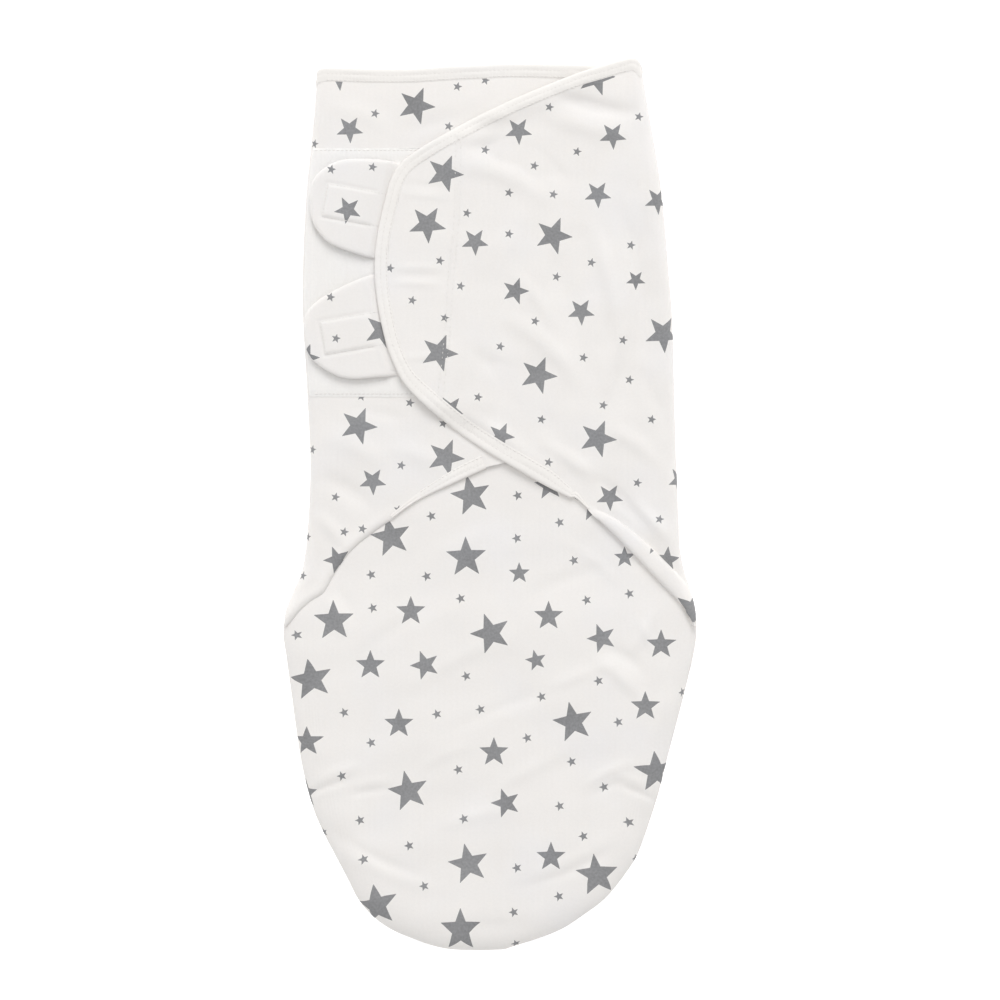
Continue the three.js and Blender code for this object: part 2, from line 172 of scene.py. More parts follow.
# Star print: radius in millimetres, and the share of it that the inner corners have.
LARGE = 12.4
MEDIUM = 9.0
SMALL = 6.5
TINY = 3.1
STAR_WAIST = 0.42
TIP_CUT = 0.04
POUCH_PRINT = 1.08

# Print of the pouch: places, with a lean in degrees where it isn't the usual one of its size.
POUCH_LEAN = {LARGE: 12, MEDIUM: 0, SMALL: 1, TINY: 20}
POUCH_STARS = {
    LARGE: [
        (-12, 6), (-62.5, -20), (-15, -33, 2), (0.5, -81, 19), (-112, -110), (52.5, -137),
        (103.5, -168, 5), (-51.5, -180.5), (-13.5, -226.5), (67, -233, 7), (-70.5, -252),
        (-18.5, -267.5, 1), (-98.5, -73, 2), (66.6, 2.2, 9),
    ],
    MEDIUM: [
        (37.3, 12.4, 6), (-50, -67), (37, -70), (70.5, -84, 20), (108, -88), (-75.5, -101),
        (-41, -101, 20), (98, -127), (-57.5, -138), (-114, -149), (2.5, -156), (10, -188, 18),
        (38.5, -222), (-116.5, -182),
    ],
    SMALL: [(18.5, -43), (85, -33), (29, -98, 13)],
    TINY: [
        (17.5, 6), (-37, -7), (44, -11), (17, -21), (53, -35), (-75, -44), (-40, -45), (88, -56),
        (-18.5, -59), (61, -60), (-74, -65), (-120.5, -82), (-15, -108), (68.5, -111), (120.5, -118),
        (32.5, -121), (-6, -129), (-92, -131), (-33.5, -132), (81, -137), (23.5, -147), (-75, -150),
        (51.5, -162), (-20, -167), (-93.5, -171), (72, -178), (44, -190), (-16.5, -198), (-82, -199),
        (87, -200), (-104.5, -206.5), (59, -209), (-51, -215), (-79.5, -223.5), (92, -223), (17, -229),
        (-41.5, -240.5), (43.5, -247), (15, -257), (16, -276),
    ],
}
WING_LEAN = {LARGE: 50, MEDIUM: 39, SMALL: 36, TINY: 58}
RIGHT_WING_STARS = {
    LARGE: [
        (-28.5, 209), (-39.5, 177, 40), (40, 170), (-32, 96), (30.5, 82), (68, 42), (109.5, 108, 40),
        (128, -66), (67, 270, 55),
    ],
    MEDIUM: [
        (18, 236), (77.5, 233), (68, 196), (-9.5, 166), (16, 135, 54), (57.5, 122), (-25, 60.5, 33),
        (7, 43.6, 48), (75.5, 5), (106, 192), (121, 16),
    ],
    SMALL: [(92, 142)],
    TINY: [
        (37.5, 251), (94, 245), (-3, 224), (55, 223), (28, 214), (12, 197), (40, 196), (-14.5, 184),
        (12, 171), (89, 164), (-31.5, 154), (64, 153), (-63, 149.3), (42, 144), (-18.5, 138), (-49, 129),
        (-28.5, 118), (28.5, 116), (84, 104), (6.5, 100), (59, 93), (88, 79), (-7.5, 68), (71.5, 63),
        (102, 54), (32.5, 54), (37, 27), (93, 14), (107, -9),
    ],
}
# Medium stars that the right wing's crease cuts: place, lean, and whether they show behind the crease.
CREASED_STARS = [((111.6, -34.8), -6, True), ((105.4, -23.2), 5, False)]
LEFT_WING_STARS = {
    LARGE: [(-46.5, 252), (-83, 50), (-28, 30), (-95.8, 273.5, 42)],
    MEDIUM: [(-88.5, 237), (-74, 15), (-96.5, -34.5, 21)],
    TINY: [
        (-3, 268), (-20.5, 264), (-72.5, 247), (-26, 239), (-111, 228), (-81, 68.5), (-50.5, 64.5),
        (-29.5, 51.5), (-112.5, 35), (-56, 25), (-97.5, 5), (-58, -3), (-80.5, -15), (-92, -17),
        (-116, -20), (-118.5, -44.5),
    ],
}
UPPER_TAB_STARS = {MEDIUM: [(-89.5, 186, 26)], TINY: [(-100, 211.5), (-74, 213)]}
LOWER_TAB_STARS = {LARGE: [(-67.5, 110)], MEDIUM: [(-116, 93, 54)], TINY: [(-100.5, 131), (-97, 105)]}

# Folds pressed into the cloth: from, to, half width, height, and how far the line bows to its left.
POUCH_FOLDS = [
    ((56, -180), (94, -161), 3.2, 0.85, 2), ((78, -176), (108, -189), 1.5, -0.9, 1),
    ((76, -169), (104, -180), 2.6, 0.65, 1), ((60, -186), (90, -172), 1.8, -0.5, 1),
    ((-117, -184), (-84, -172), 1.6, -1.05, 1), ((-112, -176), (-78, -164), 3.0, 0.7, 2),
    ((-92, -184), (-58, -179), 1.6, -0.7, 1), ((-88, -178), (-60, -173), 2.2, 0.45, 1),
    ((-108, -196), (-34, -236), 3.4, -0.7, -6), ((-100, -214), (-20, -244), 4.0, 0.5, -5),
    ((10, -243), (88, -210), 3.4, -0.75, -5), ((20, -235), (82, -202), 4.0, 0.45, -5),
    ((60, -92), (100, -128), 4.5, 1.2, 3), ((70, -88), (102, -112), 4.0, -1.1, 3),
    ((92, -70), (104, -98), 3.0, 0.9, 2), ((-104, -56), (-93, -86), 4.0, 1.4, 3),
    ((-97, -50), (-86, -80), 3.0, -0.8, 3), ((-60, -122), (12, -84), 5.0, 0.6, 4),
    ((-42, -152), (62, -112), 4.0, -0.6, 5), ((20, -128), (92, -96), 4.0, 0.6, 4),
    ((-12, -192), (64, -150), 5.0, 0.7, 4), ((-90, -102), (-28, -60), 5.0, -0.6, 3),
    ((-50, -170), (-8, -150), 3.5, 0.5, 2), ((20, -60), (86, -38), 5.0, -0.8, 4),
    ((-50, -42), (22, -10), 5.0, 0.6, 4), ((40, -20), (84, -52), 4.0, 0.8, 3),
    ((-72, -32), (-44, -8), 3.5, -0.9, 2), ((104, -62), (84, -98), 4.0, 0.9, 3),
    ((-40, -208), (22, -190), 4.0, 0.5, 3), ((-34, -262), (34, -262), 4.5, -0.7, -4),
    ((112, -108), (100, -152), 4.0, 0.7, 3), ((-122, -118), (-104, -162), 4.0, 0.7, -3),
]
RIGHT_WING_FOLDS = [
    ((34, 261), (100, 247), 4.5, -1.9, -3), ((30, 249), (98, 233), 6.0, 1.2, -3),
    ((-30, 226), (54, 203), 5.0, -1.7, 8), ((-30, 214), (42, 188), 6.0, 1.2, 8),
    ((-16, 240), (20, 246), 4.0, 0.8, 2), ((60, 186), (82, 80), 6.0, 1.8, 7),
    ((78, 196), (97, 84), 5.0, -1.5, 7), ((88, 120), (74, 60), 5.0, 0.9, -4),
    ((34, 170), (58, 62), 7.0, -1.1, 6), ((0, 124), (64, 66), 6.0, 1.2, 7),
    ((-22, 104), (44, 40), 5.0, -1.1, 6), ((10, 150), (40, 110), 4.0, 0.7, 4),
    ((70, 52), (112, 20), 5.0, 1.0, 3), ((26, 44), (82, 2), 4.5, 1.2, 3),
    ((56, 24), (104, -20), 4.0, -1.5, 3), ((-30, 64), (34, 24), 4.0, 1.0, 3),
    ((84, 6), (119, -30), 4.0, 1.3, 2), ((100, 232), (110, 130), 5.0, 1.0, -3),
    ((92, 90), (112, 40), 5.0, -0.8, 3), ((-60, 197), (-22, 193), 1.6, 0.4, 0),
    ((-58, 203), (-24, 200), 1.6, -0.35, 0), ((-66, 150), (-26, 150), 1.6, 0.4, 0),
    ((-66, 140), (-26, 139), 1.6, 0.5, 0), ((-66, 145), (-26, 144.5), 1.4, -0.35, 0),
    ((-60, 92), (-26, 95), 2.0, 0.4, 0), ((-19.5, 242), (79.5, 278), 7.0, 1.6, -4),
]
LEFT_WING_FOLDS = [
    ((-104, 252), (-62, 238), 6.0, 0.8, 2), ((-60, 232), (0, 246), 6.0, -0.8, 3),
    ((-108, 46), (-60, 20), 7.0, 1.2, 3), ((-112, 20), (-70, -6), 6.0, -1.3, 3),
    ((-100, 64), (-50, 54), 4.0, -1.0, 1), ((-70, 36), (-22, 22), 6.0, 0.9, 3),
    ((-112, -4), (-90, -30), 4.0, 1.2, 2),
]

# Tabs, from the upper end under the wing round the tip to the lower end under the wing.
UPPER_TAB = [
    (-52, 215), (-70, 218), (-91, 218), (-103, 213.5), (-112, 204), (-113.5, 190), (-111, 177),
    (-103, 166.5), (-92, 161), (-78, 156.5), (-60, 152),
]
LOWER_TAB = [
    (-58, 148), (-76, 145), (-97, 136), (-112, 126), (-117, 116), (-117, 103), (-112, 92), (-99, 82.5),
    (-87, 79.5), (-70, 80.5), (-52, 82),
]
UPPER_HINGE = ((-62.5, 217.5), (-76.5, 154))
LOWER_HINGE = ((-76.3, 145.5), (-64, 81.5))

# Folded tape on the cloth edges: distance in from the edge, lift over the cloth, and share of the puckers.
TAPE_PROFILE = [
    (8.0, 0.06, 0), (7.6, 0.24, 0.3), (7.0, 0.22, 0), (6.2, 0.4, 1), (4.8, 0.52, 1), (3.8, 0.47, 0.6),
    (3.2, 0.36, 0), (2.6, 0.5, 0.8), (1.3, 0.62, 1), (0.2, 0.5, 1), (-0.5, 0.1, 0.6), (-0.8, -0.45, 0.3),
    (-0.5, -1.0, 0), (0.2, -1.35, 0), (4.0, -1.35, 0), (8.0, -1.25, 0),
    (8.0, -0.95, 0), (0.3, -0.95, 0), (-0.15, -0.4, 0), (0.3, 0.06, 0), (8.0, 0.04, 0),
]
RIB_PITCH = 2.3
STITCH_ROWS = (3.2, 7.1)
STITCH_LIFT = 0.34
STITCH_PITCH = 2.7
STITCH_LENGTH = 1.9
STITCH_RADIUS = 0.24


def smoothstep(value, low, high):
    share = np.clip((value - low) / (high - low), 0, 1)
    return share * share * (3 - 2 * share)


def mix(first, second, share):
    return first + (second - first) * share


def bare(y):
    """0 where the wings lie over the pouch, 1 where the pouch lies bare."""
    return smoothstep(-y, BARE_FROM, BARE_TO)


def along(points, step=LINE_STEP):
    """Cuts a line of points into even steps."""
    points = np.array(points, float)
    run = np.concatenate([[0], np.cumsum(np.linalg.norm(np.diff(points, axis=0), axis=1))])
    even = np.linspace(0, run[-1], max(2, round(run[-1] / step)) + 1)
    return np.column_stack([np.interp(even, run, points[:, k]) for k in (0, 1)])


def smooth(points, step=LINE_STEP):
    """A Catmull-Rom line through the points, cut into even steps."""
    points = np.array(points, float)
    ends = [2 * points[0] - points[1]], points, [2 * points[-1] - points[-2]]
    knots = np.vstack(ends)
    share = np.linspace(0, 1, CURVE_STEPS, endpoint=False)[:, None]
    pieces = []
    for a, b, c, d in zip(knots, knots[1:], knots[2:], knots[3:]):
        bend = (2 * a - 5 * b + 4 * c - d) * share**2 + (3 * b - a - 3 * c + d) * share**3
        pieces.append(b + 0.5 * ((c - a) * share + bend))
    return along(np.vstack([*pieces, points[-1:]]), step)


class Line:
    """A line on the flat cloth, with the cloth on its left."""

    def __init__(self, points):
        self.points = points
        self.ahead = np.gradient(points, axis=0)
        self.ahead /= np.linalg.norm(self.ahead, axis=1)[:, None]
        self.inward = np.column_stack([-self.ahead[:, 1], self.ahead[:, 0]])
        self.tree = kdtree.KDTree(len(points))
        for i, (x, y) in enumerate(points):
            self.tree.insert((x, y, 0), i)
        self.tree.balance()

    def nearest(self, flat):
        """Depth in from the line, the nearest place on it and the direction inwards."""
        found = np.array([self.tree.find((x, y, 0))[1] for x, y in flat])
        inward = self.inward[found]
        away = flat - self.points[found]
        depth = (away * inward).sum(1)
        foot = flat - inward * depth[:, None]
        far = np.linalg.norm(away, axis=1) > NEAR_LINE
        return np.where(far, NEAR_LINE, depth), foot, inward

    def shifted(self, inward):
        """The line moved inwards, by one distance or by one for each point."""
        return self.points + self.inward * np.reshape(inward, (-1, 1))


def arc(reach, drop):
    return np.sqrt((reach**2 + drop**2) / 2)


def cut_edge(line, reach, drop, turn, margin=0.0):
    """Where the flat cloth ends if it is to turn round a line by so much."""
    return line.shifted(margin + reach - turn * arc(reach, drop))


def fold_down(flat, found, reach, drop, turn, margin=0.0):
    """Bends cloth round a line. Returns how far each place moves and how far it drops."""
    depth, foot, inward = found
    angle = np.clip((reach + margin - depth) / arc(reach, drop), 0, turn)
    inset = margin + reach * (1 - np.sin(angle))
    bent = foot + inward * np.reshape(inset, (-1, 1))
    move = np.where((angle > 0)[:, None], bent - flat, 0)
    return move, drop * (1 - np.cos(angle))


def rows_of(node):
    """The left and the right edge of a CAD cloth panel, from the head to the foot."""
    corners = np.array([v.co[:2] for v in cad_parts[node].data.vertices]) / MM
    corners = corners[np.argsort(-corners[:, 1])]
    breaks = np.flatnonzero(np.diff(corners[:, 1]) < -ROW_GAP) + 1
    rows = np.split(corners, breaks)
    left = np.array([row[row[:, 0].argmin()] for row in rows])
    right = np.array([row[row[:, 0].argmax()] for row in rows])
    return left, right


def folds(flat, strokes):
    """Height that the pressed folds add."""
    total = np.zeros(len(flat))
    for start, end, width, height, bow in strokes:
        span = np.subtract(end, start)
        length = np.linalg.norm(span)
        ahead = span / length
        away = flat - start
        share = away @ ahead / length
        inside = np.clip(4 * share * (1 - share), 0, 1)
        off = away @ np.array([-ahead[1], ahead[0]]) - bow * inside
        total += height * np.sqrt(inside) * inside * np.exp(-((off / width) ** 2))
    return total


def ripples(flat, seed):
    """Slight unevenness of cloth that has been laid down by hand."""
    draw = np.random.default_rng(seed)
    total = np.zeros(len(flat))
    for length in RIPPLE_LENGTHS:
        heading, phase = draw.uniform(0, 2 * math.pi, 2)
        wave = flat @ np.array([math.cos(heading), math.sin(heading)])
        total += length / RIPPLE_FLATNESS * np.sin(2 * math.pi * wave / length + phase)
    return total


# The landing panel's borders.
landing_low, landing_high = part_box("loop_landing_panel")
LANDING_TOP_Y = landing_high.y / MM
LANDING_FOOT_Y = landing_low.y / MM
LANDING_RIGHT_X = landing_high.x / MM

# The bag's outline, down the left side, round the foot and up the right side.
left_rows, right_rows = rows_of("back_panel")
HEAD_RUN = 3.5
left_top = left_rows[0] + (left_rows[0] - left_rows[1]) * HEAD_RUN
right_top = right_rows[0] + (right_rows[0] - right_rows[1]) * HEAD_RUN


def filled_out(points):
    """The CAD's edge moved out a little, and most at the foot's corners, where the cloth is fullest."""
    line = Line(smooth(points))
    at_foot = np.exp(-(((line.points[:, 1] - FOOT_CORNER_Y) / FOOT_SPREAD) ** 2))
    return Line(line.shifted(-SIDE_FULLNESS - FOOT_FULLNESS * at_foot))


outline = filled_out([left_top, *left_rows, *right_rows[::-1], right_top])
left_side = filled_out([left_top, *left_rows])
right_side = filled_out([*right_rows[::-1], right_top])

# Free edge of the right wing. Its lower part, from the twist to the side seam, is rolled.
wing_edge_rows = rows_of("right_wing_panel")[0]
TWIST_X = 62
ROLL_LEAD = 6
LOWER_EDGE_Y = 60
BOUND_OVERLAP = 18
CORNER_ROOM = 4
RIGHT_ROLL_END = [(118, -60), (124.5, -68.5), (128.5, -77)]
NECK_CORNER = [(100.5, 275), (96.5, 279), (90.5, 281.7), (82, 279.9), (68, 275.8)]
below_corner = wing_edge_rows[wing_edge_rows[:, 0] < NECK_CORNER[-1][0] - CORNER_ROOM]
right_edge = smooth([*NECK_CORNER, *below_corner, *RIGHT_ROLL_END])
lower = (right_edge[:, 0] > TWIST_X - ROLL_LEAD) & (right_edge[:, 1] < LOWER_EDGE_Y)
right_roll = Line(right_edge[lower])
right_bound = Line(right_edge[: np.flatnonzero(lower)[0] + BOUND_OVERLAP])

# Free edge of the left wing: along the neck, hidden under the right wing, then the lower edge.
NECK_Y = 276
UNDER_DIAGONAL = 13
LEFT_TWIST_X = -58
BOUND_LEAD = 4
HIDDEN_ABOVE_Y = 24.5
LEFT_ROLL_END = [(-113, -61.5), (-121, -68.5), (-128.5, -77)]
left_free_rows = rows_of("left_wing_panel")[1]
hidden_rows = left_free_rows[left_free_rows[:, 1] > HIDDEN_ABOVE_Y] + [UNDER_DIAGONAL, 0]
left_lower = smooth([*left_free_rows[left_free_rows[:, 1] < HIDDEN_ABOVE_Y], *LEFT_ROLL_END])[::-1]
left_roll = Line(left_lower[left_lower[:, 0] < LEFT_TWIST_X + ROLL_LEAD])
left_bound = Line(left_lower[left_lower[:, 0] > LEFT_TWIST_X - BOUND_LEAD])
# The neck edge from right to left: places in X, and how far above NECK_Y they lie.
NECK_WAVE = [
    (hidden_rows[0][0] + 2, 1.2), (48, 1.4), (13, 1.9), (-6, 1), (-28, 0), (-50, -1.4), (-75, -1.4),
    (-100, -0.6), (-106, -0.9), (-112, -2.5), (-121, -7),
]
left_neck = Line(smooth([(x, NECK_Y + rise) for x, rise in NECK_WAVE]))


# The double line of stitches that holds the backing, from the neck diagonal to the lower edge.
backing_seam = smooth([(-20, 229), (-21, 181), (-24.5, 146), (-27, 107), (-31, 71)])


def roll_share(x, twist, toward):
    """0 where the wing's edge is bound, 1 where it is rolled."""
    return smoothstep(toward * (x - twist), *ROLL_STARTS)


def right_rolled(x):
    return roll_share(x, TWIST_X, 1)


def left_rolled(x):
    return roll_share(x, LEFT_TWIST_X, -1)


def rolled_edge(line, rolled):
    """Where the flat cloth ends along an edge that turns from bound to rolled."""
    share = rolled(line.points[:, 0])
    return line.shifted(share * (ROLL_REACH - ROLL_TURN * arc(ROLL_REACH, ROLL_DROP)))


def wall_turn(y):
    """The wall of a wing ends at the side seam by its lower end."""
    return mix(WALL_TURN, WALL_END_TURN, smoothstep(-y, *WALL_ENDS))


def crease_depth(x):
    """How far in from the right wing's lower edge its roll ends. The roll widens from the twist on."""
    return ROLL_WIDTH * (1 - np.exp(-np.maximum(x - TWIST_X, 1) / ROLL_GROWTH))


def right_roll_height(depth, x):
    """The roll stands up from its crease, and the wing beside it dips towards the crease."""
    crease = crease_depth(x)
    along_roll = np.clip((depth / crease - ROLL_FLAT_SHARE) / (1 - ROLL_FLAT_SHARE), 0, 1)
    roll = ROLL_HEIGHT * np.sqrt(1 - along_roll**2)
    fade = smoothstep(-depth, -NEAR_LINE, -CREASE_FADE)
    dip = CREASE_DIP * np.exp(-np.maximum(depth - crease, 0) / CREASE_REACH) * fade
    return np.where(depth < crease, roll, -dip)


def left_roll_height(depth, x):
    return LEFT_ROLL_HEIGHT * np.exp(-(((depth - LEFT_ROLL_DEPTH) / LEFT_ROLL_SPREAD) ** 2))


def wing(flat, high, side, wall_drop, roll, rolled, roll_height):
    """Lays a wing: rounds its fold side and rolls its lower edge."""
    found = roll.nearest(flat)
    edge_x = found[1][:, 0]
    share = rolled(edge_x) * (found[0] < NEAR_LINE)
    high = high + roll_height(found[0], edge_x) * share
    reach = np.maximum(ROLL_REACH * share, LEAST_REACH)
    curl, curl_drop = fold_down(flat, found, reach, ROLL_DROP * share, ROLL_TURN)
    curl = curl * share[:, None]
    curl_drop = curl_drop * share
    bend, bend_drop = fold_down(flat, side.nearest(flat), WALL_REACH, wall_drop, wall_turn(flat[:, 1]))
    place = flat + curl + bend
    return np.column_stack([place, np.maximum(high - curl_drop - bend_drop, WING_LOWEST)])


def seam_pucker(flat):
    """The backing's two stitch lines draw the cloth in, and a ridge stays between them."""
    x, y = flat.T
    on_seam = (y > backing_seam[-1][1] - PUCKER_END) & (y < backing_seam[0][1] + PUCKER_END)
    off_seam = np.abs(x - np.interp(y, backing_seam[::-1, 1], backing_seam[::-1, 0]))
    ridge = PUCKER_RIDGE * np.exp(-((off_seam / PUCKER_WIDTH) ** 2))
    groove = PUCKER_GROOVE * np.exp(-(((off_seam - BACKING_ROW) / PUCKER_WIDTH) ** 2))
    return (ridge - groove) * on_seam


def right_wing_shape(flat):
    x, y = flat.T
    over_tabs = smoothstep(-x, *OVER_TABS_X) * smoothstep(y, *OVER_TABS_LOW_Y)
    over_tabs = over_tabs * smoothstep(-y, *OVER_TABS_HIGH_Y)
    beside_tabs = mix(OVER_LEFT_WING_TOP, OVER_POUCH_TOP, smoothstep(x, *BESIDE_TABS_X))
    high = mix(beside_tabs, RIGHT_WING_TOP, over_tabs)
    uneven = ripples(flat, 3) * smoothstep(x, *RIGHT_RIPPLE_X)
    uneven = RIGHT_FOLD_STRENGTH * folds(flat, RIGHT_WING_FOLDS) + uneven
    layer_below = mix(LEFT_WING_TOP, POUCH_TOP, smoothstep(x, *LEFT_WING_ENDS_X))
    high = np.maximum(high + uneven + seam_pucker(flat), layer_below + JERSEY + LAYER_GAP)
    return wing(flat, high, right_side, RIGHT_WALL_DROP, right_roll, right_rolled, right_roll_height)


def left_wing_shape(flat):
    x, y = flat.T
    dip = NECK_DIP * smoothstep(x, *NECK_DIP_X) * smoothstep(y, *NECK_DIP_Y)
    sag = LOW_SAG * smoothstep(-y, *LOW_SAG_Y)
    seen = np.maximum(smoothstep(y, *SEEN_ABOVE_Y), smoothstep(-y, *SEEN_BELOW_Y))
    uneven = folds(flat, LEFT_WING_FOLDS) * seen + ripples(flat, 5) * LEFT_RIPPLE_SHARE * seen
    high = LEFT_WING_TOP - dip - sag + uneven
    return wing(flat, high, left_side, LEFT_WALL_DROP, left_roll, left_rolled, left_roll_height)


def landing_shape(flat):
    """The ribbed landing panel on the left wing, pressed down along its stitched borders."""
    y = flat[:, 1]
    from_border = np.minimum(LANDING_TOP_Y - y, y - LANDING_FOOT_Y)
    share = smoothstep(from_border, 0, LANDING_BORDER)
    lift = mix(LANDING_CLOTH / 2, LANDING_CLOTH + LANDING_RISE, share)
    rib = LANDING_RIB * np.cos(flat[:, 0] * 2 * math.pi / RIB_PITCH)
    return off_cloth(left_wing_shape, flat, lift + rib)


def pouch_edge(y):
    """Reach, drop and margin of the pouch's sides, which tuck inside the wings' walls."""
    share = bare(y)
    return mix(POUCH_REACH, DOME_REACH, share), POUCH_DROP, HIDDEN_MARGIN * (1 - share)


def pouch_shape(flat):
    found = outline.nearest(flat)
    reach, drop, margin = pouch_edge(found[1][:, 1])
    move, fall = fold_down(flat, found, reach, drop, QUARTER_TURN, margin)
    clear = smoothstep(-flat[:, 1], *POUCH_CLEAR)
    puff = POUCH_PUFF * bare(flat[:, 1]) * smoothstep(found[0], 0, NEAR_LINE)
    high = POUCH_TOP + puff + (folds(flat, POUCH_FOLDS) + ripples(flat, 7)) * mix(POUCH_CALM, 1, clear)
    return np.column_stack([flat + move, high - fall])


def back_edge(y):
    return BACK_MARGIN * (1 - bare(y))


def back_shape(flat):
    """The under face of the back: flat on the floor, with its sides turned up."""
    found = outline.nearest(flat)
    margin = back_edge(found[1][:, 1])
    move, rise = fold_down(flat, found, POUCH_REACH, BACK_RISE, QUARTER_TURN, margin)
    return np.column_stack([flat + move, FLOOR_AIR + rise])


def off_cloth(shape, flat, lift):
    """Places at a lift over a laid cloth, at right angles to it."""
    here = shape(flat)
    ahead = shape(flat + [NORMAL_STEP, 0]) - here
    aside = shape(flat + [0, NORMAL_STEP]) - here
    up = np.cross(ahead, aside)
    up /= np.maximum(np.linalg.norm(up, axis=1)[:, None], 1e-9)
    return here + up * np.reshape(lift, (-1, 1))


def star(x, y, radius, lean, step=1.8):
    """Outline of a printed star, with slightly blunt tips and its edges cut into short steps."""
    corners = []
    for k in range(10):
        size = radius * (1 if k % 2 == 0 else STAR_WAIST)
        angle = math.radians(90 + lean + 36 * k)
        corners.append(np.array([x + size * math.cos(angle), y + size * math.sin(angle)]))
    ring = []
    for k in range(0, 10, 2):
        before, tip, after = corners[k - 1], corners[k], corners[(k + 1) % 10]
        ring += [before, mix(tip, before, TIP_CUT), mix(tip, after, TIP_CUT)]
    pieces = [along([a, b], step)[:-1] for a, b in zip(ring, ring[1:] + ring[:1])]
    return np.vstack(pieces)


def printed(stars, usual_lean, scale=1.0):
    """Outlines of all stars of a panel."""
    rings = []
    for radius, places in stars.items():
        for x, y, *lean in places:
            rings.append(star(x, y, radius * scale, lean[0] if lean else usual_lean[radius]))
    return rings


def creased(place, lean, behind):
    """Outline of the part of a star that shows behind the right wing's crease, or in front of it."""
    ring = star(*place, MEDIUM, lean, step=0.6)
    depth, foot, _ = right_roll.nearest(ring)
    is_behind = depth > crease_depth(foot[:, 0])
    return ring[is_behind == behind]


def scattered(edge, placed, seed, hidden):
    """The same print, drawn by lot, for the part of a panel that is out of sight."""
    draw = np.random.default_rng(seed)
    taken = [(x, y, radius) for radius, places in placed.items() for x, y, *_ in places]
    low, high = edge.min(0), edge.max(0)
    made = {LARGE: [], MEDIUM: [], TINY: []}
    for radius, tries, room in ((LARGE, 200, 34), (MEDIUM, 300, 17), (TINY, 700, 11)):
        for _ in range(tries):
            x, y = draw.uniform(low, high)
            apart = all(math.hypot(x - a, y - b) > room + size for a, b, size in taken)
            if apart and hidden(x, y):
                made[radius].append((x, y))
                taken.append((x, y, radius))
    return made


def within(points, edge):
    """Which points lie inside a closed line."""
    inside = np.zeros(len(points), bool)
    x, y = points.T
    for (x0, y0), (x1, y1) in zip(edge, np.roll(edge, -1, axis=0)):
        crosses = (y0 > y) != (y1 > y)
        if crosses.any():
            inside[crosses] ^= x[crosses] < x0 + (y[crosses] - y0) * (x1 - x0) / (y1 - y0)
    return inside


def clear_of(points, lines, room):
    """Which points lie further than room from all the lines' points."""
    tree = kdtree.KDTree(sum(len(line) for line in lines))
    i = 0
    for line in lines:
        for x, y in line:
            tree.insert((x, y, 0), i)
            i += 1
    tree.balance()
    return np.array([tree.find((x, y, 0))[2] > room for x, y in points])


def cut(edge, rings, spacing, creases=()):
    """Cuts a flat panel with the print let in: places, triangles, and which triangles are printed."""
    low, high = edge.min(0), edge.max(0)
    row_height = spacing * math.sqrt(0.75)
    rows = np.arange(low[1], high[1], row_height)
    columns = np.arange(low[0], high[0], spacing)
    grid = np.array([(x + spacing / 2 * (j % 2), y) for j, y in enumerate(rows) for x in columns])
    grid = grid[within(grid, edge)]
    grid = grid[clear_of(grid, [edge, *rings, *creases], spacing * 0.5)]
    for crease in creases:
        crease = crease[within(crease, edge)]
        grid = np.vstack([grid, crease[clear_of(crease, [edge, *rings], spacing * 0.2)]])
    loops = [edge, *rings]
    starts = np.cumsum([0] + [len(loop) for loop in loops])
    faces = [list(range(a, b)) for a, b in zip(starts, starts[1:])]
    flat = [tuple(p) for p in np.vstack([*loops, grid])]
    places, _, triangles, _, _, sources = geometry.delaunay_2d_cdt(flat, [], faces, 0, 1e-6, True)
    kept = [(t, s) for t, s in zip(triangles, sources) if 0 in s and len(t) == 3]
    used = sorted({corner for t, _ in kept for corner in t})
    number = {corner: i for i, corner in enumerate(used)}
    triangles = np.array([[number[corner] for corner in t] for t, _ in kept])
    stamped = np.array([len(s) > 1 for _, s in kept])
    return np.array([places[i][:] for i in used]), triangles, stamped


def piece(name, places, faces, materials, slots=None):
    """A Blender object from places in millimetres."""
    mesh = bpy.data.meshes.new(name)
    mesh.from_pydata((np.asarray(places) * MM).tolist(), [], [list(map(int, f)) for f in faces])
    for material in materials:
        mesh.materials.append(material)
    if slots is not None:
        mesh.polygons.foreach_set("material_index", np.asarray(slots, np.int32))
    mesh.shade_smooth()
    mesh.set_sharp_from_angle(angle=math.radians(60))
    obj = bpy.data.objects.new(name, mesh)
    bpy.context.scene.collection.objects.link(obj)
    return obj


def cloth(name, edge, shape, materials, thickness=JERSEY, rings=(), spacing=2.0, outward=1, creases=()):
    """A closed sheet of cloth. The shape gives its outer face. Outward is -1 if that is the under face."""
    flat, triangles, stamped = cut(np.asarray(edge), list(rings), spacing, creases)
    outer = shape(flat)
    a, b, c = (outer[triangles[:, k]] for k in range(3))
    across = np.cross(b - a, c - a)
    normals = np.zeros_like(outer)
    for k in range(3):
        np.add.at(normals, triangles[:, k], across)
    normals /= np.maximum(np.linalg.norm(normals, axis=1)[:, None], 1e-9)
    inner = outer - normals * thickness * outward
    count = len(flat)
    sides = np.vstack([triangles[:, [0, 1]], triangles[:, [1, 2]], triangles[:, [2, 0]]])
    inner_side = {(q, p) for p, q in sides.tolist()}
    border = np.array([s for s in sides.tolist() if tuple(s) not in inner_side])
    rim = np.column_stack([border[:, 1], border[:, 0], border[:, 0] + count, border[:, 1] + count])
    faces = [*triangles, *(triangles[:, ::-1] + count), *rim]
    if outward < 0:
        faces = [f[::-1] for f in faces]
    plain = np.zeros(len(rim), int)
    slots = np.concatenate([stamped, stamped + 2, plain]) if len(materials) > 1 else None
    obj = piece(name, np.vstack([outer, inner]), faces, materials, slots)
    lay_out(obj, np.vstack([flat, flat]))
    return obj


